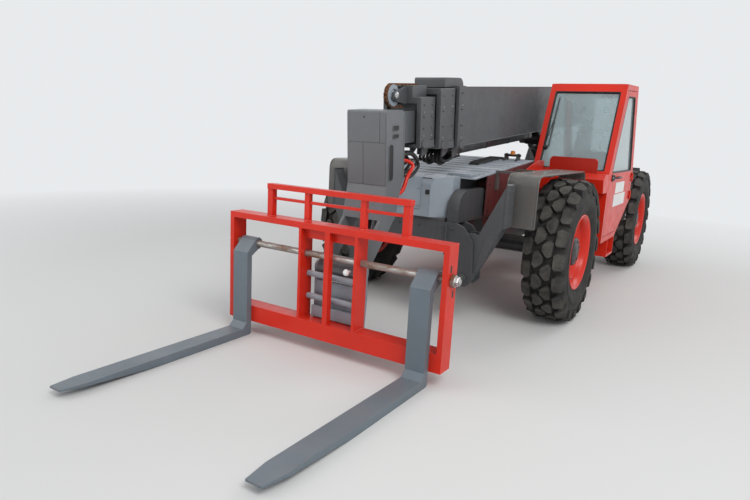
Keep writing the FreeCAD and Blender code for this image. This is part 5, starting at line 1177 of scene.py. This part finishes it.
def piping(centre, along, across, half, radius=0.006):
    """A thin cord sewn into a cushion's seam: a circle carried round the edge of the same plan."""
    t, one = np.linspace(-1, 1, 24, endpoint=False), np.ones(24)
    a, b = cushion_plan(np.concatenate([one, -t, -one, t]), np.concatenate([t, one, -t, -one]), half)
    path = centre + a[:, None] * along + b[:, None] * across
    return carried(path, np.cross(along, across), disc(radius))


CHANNELS = (("along", -0.62), ("along", -0.21), ("along", 0.21), ("along", 0.62), ("across", 0.72))
# Cushions of the seat: name, middle, directions along and across, half length, half width and height
BACK_LEAN = np.array([-0.155, 0.0, 0.988])
CUSHIONS = (("seat_pad", at(-1.735, 0.815, 0.945), X_AXIS, Y_AXIS, (0.250, 0.228, 0.068)),
            ("seat_back", at(-2.040, 0.815, 1.270), BACK_LEAN, -Y_AXIS, (0.285, 0.210, 0.060)))


def make_seat():
    """Seat pad and backrest with sewn channels and piping, on a bellows, slides and a shell."""
    depth = bpy.context.scene.telehandler_seat.channel_depth
    for name, *shape in CUSHIONS:
        pad = add_piece(name, "chassis", [("vinyl", cushion(*shape, CHANNELS, depth))], crease=80.0)
        if name == "seat_pad":
            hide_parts("seat")
        add_piece(f"{name}_piping", "chassis", [("seal", piping(*shape))], crease=80.0)
    shell = slab([(-1.500, 0.884), (-1.985, 0.878), (-2.035, 0.920), (-2.118, 1.530), (-2.098, 1.535),
                  (-2.015, 0.940), (-1.975, 0.905), (-1.500, 0.905)], 0.640, 0.990)
    bellows = lathe([(0.655 + 0.031 * i, 0.150 + 0.014 * (i % 2)) for i in range(8)], at(-1.735, 0.815, 0.0),
                    Z_AXIS, 40)
    rails = [slab(rectangle((-1.93, -1.50), (0.640, 0.658)), y - 0.02, y + 0.02) for y in (0.68, 0.95)]
    rests = [slab(rounded([(-2.02, 1.145), (-1.72, 1.145), (-1.72, 1.180), (-2.02, 1.190)], 0.012), y - 0.024,
                  y + 0.024) for y in (0.592, 1.038)]
    add_piece("seat_frame", "chassis", [("black plastic", shell, *rests), ("seal", bellows), ("black paint", *rails)],
              0.004)


def make_console():
    """Dash, column, steering wheel with three spokes, levers with knobs, and dials."""
    dash = slab(rounded([(-1.092, 0.642), (-1.092, 1.180), (-1.130, 1.248), (-1.205, 1.220), (-1.235, 1.060),
                         (-1.180, 0.642)], 0.022), 0.470, 1.155)
    hood = slab(rounded([(-1.125, 1.215), (-1.112, 1.315), (-1.150, 1.345), (-1.235, 1.245), (-1.200, 1.200)], 0.014),
                0.690, 0.940)
    base, top = at(-1.190, 0.815, 1.120), at(-1.430, 0.815, 1.430)
    first, second, way = basis(top - base)
    column = lathe([(0.0, 0.052), (0.10, 0.048), (0.24, 0.036), (0.34, 0.028)], base, way, 24)
    wheel = torus(top, way, 0.168, 0.0125, 12, 56)
    hub = lathe([(-0.05, 0.030), (-0.02, 0.045), (0.004, 0.046), (0.012, 0.038)], top, way, 28)
    spokes = [tube([top - 0.012 * way + 0.03 * d, top + 0.004 * way + 0.166 * d], 0.0085, 8, 4)
              for d in around(ORIGIN, first, second, 1.0, 3, 1.2 / TURN)]
    levers = [tube(path_at((-1.20, y, 1.20), (-1.27, y, 1.30), (-1.30, y - 0.01, 1.40)), 0.006, 8, 5)
              for y in (0.560, 1.060)]
    knobs = [lathe([(-0.018, 0.008), (-0.008, 0.017), (0.006, 0.018), (0.016, 0.009)], at(-1.301, y - 0.01, 1.412),
                   Z_AXIS, 20) for y in (0.560, 1.060)]
    slope = np.array([-0.745, 0.0, 0.667])
    dials = [torus(at(-1.196, y, 1.298), slope, 0.033, 0.004, 8, 32) for y in (0.765, 0.865)]
    stick = tube(path_at((-1.62, 0.545, 0.66), (-1.60, 0.545, 0.90), (-1.60, 0.548, 1.14)), 0.045, 12, 5)
    joy = lathe([(0.0, 0.030), (0.02, 0.018), (0.08, 0.014), (0.10, 0.022), (0.15, 0.024), (0.17, 0.014)],
                at(-1.60, 0.548, 1.13), (0.1, 0, 1), 20)
    add_piece("dash_and_wheel", "chassis", [
        ("black plastic", dash, hood, column, wheel, hub, *spokes, stick, joy), ("zinc", *levers),
        ("black plastic", *knobs), ("zinc", *dials)], replaces=("console",))


# Pod, rear and axles
POD_FACE = -1.215
LATCHES_X = (-1.15, -2.15)
# Bar of the lid's pull: place along, distance out of the pod's face
PULL = ((-1.56, -0.002), (-1.565, 0.030), (-1.60, 0.040), (-1.65, 0.041), (-1.70, 0.040), (-1.735, 0.030),
        (-1.74, -0.002))


def make_pod_details():
    """Latches and a pull on the lid; catches, the filler cap and screws on the pod."""
    face = POD_FACE
    latches = [plate((x - 0.018, x + 0.018), (1.062, 1.150), 0.010, face - 0.014, face + 0.001) for x in LATCHES_X]
    pull = tube([at(x, face - out, 1.095) for x, out in PULL], 0.009, 10, 5)
    add_piece("lid_latches", "engine_lid", [("black plastic", *latches, pull)], 0.002)
    filler = lathe([(-0.002, 0.068), (0.006, 0.068), (0.010, 0.058), (0.012, 0.050), (0.036, 0.048), (0.042, 0.040)],
                   at(-0.990, face, 0.880), -Y_AXIS, 32)
    grip = plate((-1.028, -0.952), (0.873, 0.887), 0.005, face - 0.054, face - 0.036)
    screws = bolts([at(x, face, 0.66) for x in np.arange(-2.40, -0.85, 0.31)], -Y_AXIS)
    catches = bolts([at(x, face, 1.015) for x in LATCHES_X], -Y_AXIS, 0.014)
    add_piece("pod_details", "chassis", [("black plastic", filler, grip), ("zinc", screws, catches)], 0.0015)


REAR_FACE = -4.260


def make_rear_details():
    """Rear lamps in their frames, the counterweight's screws, and a lifting eye at each side."""
    rear = REAR_FACE
    red, amber = ([plate((y - 0.046, y + 0.046), (1.090, 1.195), 0.012, rear - 0.024, rear - 0.002, FRONT_VIEW)
                   for y in (place, -place)] for place in (0.905, 0.80))
    frames = [plate(sorted((0.742 * side, 0.963 * side)), (1.078, 1.207), 0.012, rear - 0.010, rear + 0.002, FRONT_VIEW)
              for side in (1, -1)]
    screws = bolts([at(rear, y, z) for y in (-0.52, -0.30, 0.30, 0.52) for z in (0.74, 1.24)], -X_AXIS, 0.018)
    eyes = [torus(at(-4.200, y, 1.345), Y_AXIS, 0.030, 0.010, 10, 28) for y in (-0.70, 0.70)]
    add_piece("rear_lamps", "chassis", [("black plastic", *frames), ("lamp red", *red), ("amber", *amber),
                                        ("zinc", screws), ("chassis paint", *eyes)], 0.002)


def make_axle_details():
    """Cover with its ring of screws on each axle's differential."""
    for end, x, way in (("front", -0.040, X_AXIS), ("rear", -3.260, -X_AXIS)):
        middle = at(x, 0.0, 0.660)
        cover = lathe([(0.0, 0.165), (0.208, 0.165), (0.216, 0.158), (0.222, 0.120), (0.236, 0.092), (0.238, 0.010)],
                      middle, way, 40)
        screws = bolts(around(middle, Y_AXIS, Z_AXIS, 0.145, 12) + 0.2165 * way, way)
        add_piece(f"differential_{end}", "chassis", [("black paint", cover), ("zinc", screws)], 0.001)


# Stage
SKY = (0.90, 0.92, 0.94, 1.0)
SKY_STRENGTH = 0.9
FLOOR_RADIUS = 60.0
# Distances from the middle over which the floor fades into the backdrop
FADE = (4.6, 10.5)
# Lamps: place, size and power; all face a point at this height over the middle
LAMPS = {"key": ((6.0, 6.5, 8.0), 5.0, 520.0), "fill": ((7.0, -6.0, 5.0), 7.0, 190.0),
         "back": ((-8.0, 3.0, 7.0), 6.0, 260.0)}
LAMPS_AIM = Vector((0, 0, 0.8))


def make_floor(scene, colour):
    """Plain pale floor that keeps shadows near the machine and fades into the backdrop further off."""
    n = surface("floor")
    far = n.ramp(n.add("VectorMath", n.place(), operation="LENGTH").outputs["Value"], *FADE)
    glow = n.add("Emission", Color=SKY, Strength=SKY_STRENGTH)
    shader = n.put(Base_Color=colour, Roughness=0.9).node_tree.nodes["Principled BSDF"]
    blend = n.add("MixShader", far, shader.outputs[0], glow.outputs[0])
    n.set(n.tree.nodes["Material Output"], "Surface", blend.outputs[0])
    floor = bpy.data.meshes.new("floor")
    floor.from_pydata(around(ORIGIN, X_AXIS, Y_AXIS, FLOOR_RADIUS, 96).tolist(), [], [tuple(range(96))])
    floor.materials.append(n.block)
    ground = bpy.data.objects.new("floor", floor)
    scene.collection.objects.link(ground)


def make_light(scene, level):
    """Even world light, which the camera, gloss and glass see as the pale backdrop, and three soft lamps."""
    n = Nodes(bpy.data.worlds.new("studio"))
    rays = n.add("LightPath").outputs
    seen = rays["Is Camera Ray"]
    for ray in ("Is Glossy Ray", "Is Transmission Ray"):
        seen = n.add("Math", seen, rays[ray], operation="MAXIMUM").outputs[0]
    n.set(n.tree.nodes["Background"], "Color", SKY)
    n.set(n.tree.nodes["Background"], "Strength", n.ramp(seen, 0.0, 1.0, 0.56 * level, SKY_STRENGTH))
    scene.world = n.block
    for name, (place, size, power) in LAMPS.items():
        lamp = bpy.data.lights.new(name, "AREA")
        lamp.size = size
        lamp.energy = power * level
        holder = bpy.data.objects.new(name, lamp)
        holder.location = place
        holder.rotation_euler = (LAMPS_AIM - Vector(place)).to_track_quat("-Z", "Y").to_euler()
        scene.collection.objects.link(holder)


def camera_axes(yaw, pitch, roll):
    """Right, up and forward directions of a camera from its yaw, pitch and roll."""
    forward = np.array([-math.cos(yaw) * math.cos(pitch), -math.sin(yaw) * math.cos(pitch), -math.sin(pitch)])
    right = np.cross(forward, Z_AXIS)
    right /= np.linalg.norm(right)
    up = np.cross(right, forward)
    c, s = math.cos(roll), math.sin(roll)
    return c * right + s * up, c * up - s * right, forward


def make_camera(scene, settings):
    """Camera at the photograph's place and angle."""
    right, up, forward = camera_axes(*settings.turn)
    data = bpy.data.cameras.new("camera")
    data.lens = settings.lens
    data.sensor_width = 36.0
    data.clip_end = 200.0
    holder = bpy.data.objects.new("camera", data)
    matrix = Matrix(np.stack([right, up, -forward], axis=1).tolist()).to_4x4()
    matrix.translation = Vector(settings.place)
    holder.matrix_world = matrix
    scene.collection.objects.link(holder)
    scene.camera = holder
    scene.view_settings.view_transform = "Standard"


# Panel, settings and operators
class ColourSettings(bpy.types.PropertyGroup):
    """Paint colours of the machine."""
    red: bpy.props.FloatVectorProperty(name="Red", description="Cab, carriage, pod and rims", subtype="COLOR",
                                       size=4, min=0, max=1, default=(0.70, 0.021, 0.005, 1.0))
    grey: bpy.props.FloatVectorProperty(name="Grey", description="Boom, nose and stabilisers", subtype="COLOR",
                                        size=4, min=0, max=1, default=(0.150, 0.160, 0.170, 1.0))
    cover: bpy.props.FloatVectorProperty(name="Cover grey", description="Front cover, deck and coupler",
                                         subtype="COLOR", size=4, min=0, max=1, default=(0.295, 0.340, 0.385, 1.0))
    floor: bpy.props.FloatVectorProperty(name="Floor", description="Floor near the machine", subtype="COLOR",
                                         size=4, min=0, max=1, default=(0.70, 0.70, 0.69, 1.0))


class WheelSettings(bpy.types.PropertyGroup):
    """Sizes of the wheels."""
    tyre_width: bpy.props.FloatProperty(name="Tyre width", description="Width over the shoulders", unit="LENGTH",
                                        default=0.375)
    lugs: bpy.props.IntProperty(name="Blocks in a row", description="Tread blocks around one row", default=20)
    nuts: bpy.props.IntProperty(name="Wheel nuts", description="Nuts that hold one wheel", default=12)


class SeatSettings(bpy.types.PropertyGroup):
    """Sizes of the seat."""
    channel_depth: bpy.props.FloatProperty(name="Channel depth", description="How far a sewn channel sinks in",
                                           unit="LENGTH", default=0.014)


class StageSettings(bpy.types.PropertyGroup):
    """Camera, lamps and backdrop."""
    place: bpy.props.FloatVectorProperty(name="Camera place", description="Where the camera stands", unit="LENGTH",
                                         size=3, default=(5.85695, 2.5156, 1.6596))
    turn: bpy.props.FloatVectorProperty(name="Camera turn", description="Yaw, pitch and roll", unit="ROTATION",
                                        size=3, default=(0.5551, 0.1965, 0.0551))
    lens: bpy.props.FloatProperty(name="Lens", description="Focal length on a 36 mm sensor", unit="CAMERA",
                                  default=28.687)
    light: bpy.props.FloatProperty(name="Light", description="Brightness of the lamps against their plain level",
                                   default=1.0, min=0.0)


class TELEHANDLER_OT_finishes(bpy.types.Operator):
    """Makes the finishes and puts them on the nodes that keep their own shape"""
    bl_idname = "telehandler.finishes"
    bl_label = "Finishes"

    def execute(self, context):
        make_finishes()
        for finish, nodes in NODE_FINISH.items():
            for name in nodes:
                dress_node(name, finish)
        return {"FINISHED"}


class TELEHANDLER_OT_tyres(bpy.types.Operator):
    """Makes the four tyres"""
    bl_idname = "telehandler.tyres"
    bl_label = "Tyres"

    def execute(self, context):
        for end, side in CORNERS:
            make_tyre(end, side)
        return {"FINISHED"}


class TELEHANDLER_OT_rims(bpy.types.Operator):
    """Makes the rims with their hubs, nuts and valves"""
    bl_idname = "telehandler.rims"
    bl_label = "Rims"

    def execute(self, context):
        for end, side in CORNERS:
            make_rim(end, side)
        return {"FINISHED"}


class TELEHANDLER_OT_cylinders(bpy.types.Operator):
    """Makes the lift, tilt and stabiliser cylinders"""
    bl_idname = "telehandler.cylinders"
    bl_label = "Cylinders"

    def execute(self, context):
        make_cylinders()
        return {"FINISHED"}


class TELEHANDLER_OT_chain(bpy.types.Operator):
    """Makes the boom's chain and its sheave"""
    bl_idname = "telehandler.chain"
    bl_label = "Chain"

    def execute(self, context):
        make_chain()
        return {"FINISHED"}


class TELEHANDLER_OT_boom(bpy.types.Operator):
    """Makes the gear of the boom's heads, its nose, lines, welds and pin"""
    bl_idname = "telehandler.boom"
    bl_label = "Boom details"

    def execute(self, context):
        make_heads()
        make_nose_panels()
        make_boom_lines()
        make_pivot_caps()
        return {"FINISHED"}


class TELEHANDLER_OT_hoses(bpy.types.Operator):
    """Makes the short hoses behind the nose and the tray under the boom"""
    bl_idname = "telehandler.hoses"
    bl_label = "Hoses"

    def execute(self, context):
        make_hoses()
        make_hose_tray()
        return {"FINISHED"}


class TELEHANDLER_OT_deck(bpy.types.Operator):
    """Makes the details of the deck, the cover, the mudguards and the side panels"""
    bl_idname = "telehandler.deck"
    bl_label = "Deck and mudguards"

    def execute(self, context):
        make_deck()
        make_deck_fitting()
        make_fender_edges()
        make_side_panel_details()
        return {"FINISHED"}


class TELEHANDLER_OT_stabilisers(bpy.types.Operator):
    """Makes the details of the stabilisers and their house"""
    bl_idname = "telehandler.stabilisers"
    bl_label = "Stabilisers"

    def execute(self, context):
        make_leg_gear()
        return {"FINISHED"}


class TELEHANDLER_OT_carriage(bpy.types.Operator):
    """Makes the nuts, bars, knob and welds of the carriage"""
    bl_idname = "telehandler.carriage"
    bl_label = "Carriage details"

    def execute(self, context):
        make_carriage_gear()
        make_carriage_welds()
        return {"FINISHED"}


class TELEHANDLER_OT_cab(bpy.types.Operator):
    """Makes the seals, the wiper and the details of the door, roof and step"""
    bl_idname = "telehandler.cab"
    bl_label = "Cab details"

    def execute(self, context):
        make_seals()
        make_wiper()
        make_door_details()
        make_cab_details()
        return {"FINISHED"}


class TELEHANDLER_OT_seat(bpy.types.Operator):
    """Makes the driver's seat"""
    bl_idname = "telehandler.seat"
    bl_label = "Seat"

    def execute(self, context):
        make_seat()
        return {"FINISHED"}


class TELEHANDLER_OT_console(bpy.types.Operator):
    """Makes the dash, the steering wheel and the levers"""
    bl_idname = "telehandler.console"
    bl_label = "Console"

    def execute(self, context):
        make_console()
        return {"FINISHED"}


class TELEHANDLER_OT_rear(bpy.types.Operator):
    """Makes the details of the pod, the counterweight and the axles"""
    bl_idname = "telehandler.rear"
    bl_label = "Pod and rear"

    def execute(self, context):
        make_pod_details()
        make_rear_details()
        make_axle_details()
        return {"FINISHED"}


class TELEHANDLER_OT_stage(bpy.types.Operator):
    """Makes the floor, the light and the camera"""
    bl_idname = "telehandler.stage"
    bl_label = "Stage"

    def execute(self, context):
        scene = context.scene
        make_floor(scene, tuple(scene.telehandler_colours.floor))
        make_light(scene, scene.telehandler_stage.light)
        make_camera(scene, scene.telehandler_stage)
        return {"FINISHED"}


STEPS = (TELEHANDLER_OT_finishes, TELEHANDLER_OT_tyres, TELEHANDLER_OT_rims, TELEHANDLER_OT_cylinders,
         TELEHANDLER_OT_chain, TELEHANDLER_OT_boom, TELEHANDLER_OT_hoses, TELEHANDLER_OT_deck,
         TELEHANDLER_OT_stabilisers, TELEHANDLER_OT_carriage, TELEHANDLER_OT_cab, TELEHANDLER_OT_seat,
         TELEHANDLER_OT_console, TELEHANDLER_OT_rear, TELEHANDLER_OT_stage)
SETTINGS = {"telehandler_colours": ColourSettings, "telehandler_wheels": WheelSettings,
            "telehandler_seat": SeatSettings, "telehandler_stage": StageSettings}


class TELEHANDLER_PT_panel(bpy.types.Panel):
    """Lists the settings and the steps that dress the machine"""
    bl_idname = "TELEHANDLER_PT_panel"
    bl_label = "Telehandler"
    bl_space_type = "VIEW_3D"
    bl_region_type = "UI"
    bl_category = "Telehandler"

    def draw(self, context):
        for group in SETTINGS:
            settings = getattr(context.scene, group)
            for name in settings.__annotations__:
                self.layout.prop(settings, name)
        for step in STEPS:
            self.layout.operator(step.bl_idname)


def register():
    """Makes the settings, the steps and the panel known to Blender."""
    for kind in (*SETTINGS.values(), *STEPS, TELEHANDLER_PT_panel):
        bpy.utils.register_class(kind)
    for name, kind in SETTINGS.items():
        setattr(bpy.types.Scene, name, bpy.props.PointerProperty(type=kind))


def unregister():
    """Takes back what register() did, in the opposite order."""
    for name in SETTINGS:
        delattr(bpy.types.Scene, name)
    for kind in (TELEHANDLER_PT_panel, *reversed(STEPS), *SETTINGS.values()):
        bpy.utils.unregister_class(kind)


def main():
    """Dresses the machine step by step."""
    register()
    for step in STEPS:
        group, name = step.bl_idname.split(".")
        getattr(getattr(bpy.ops, group), name)()


if __name__ == "__main__":
    main()
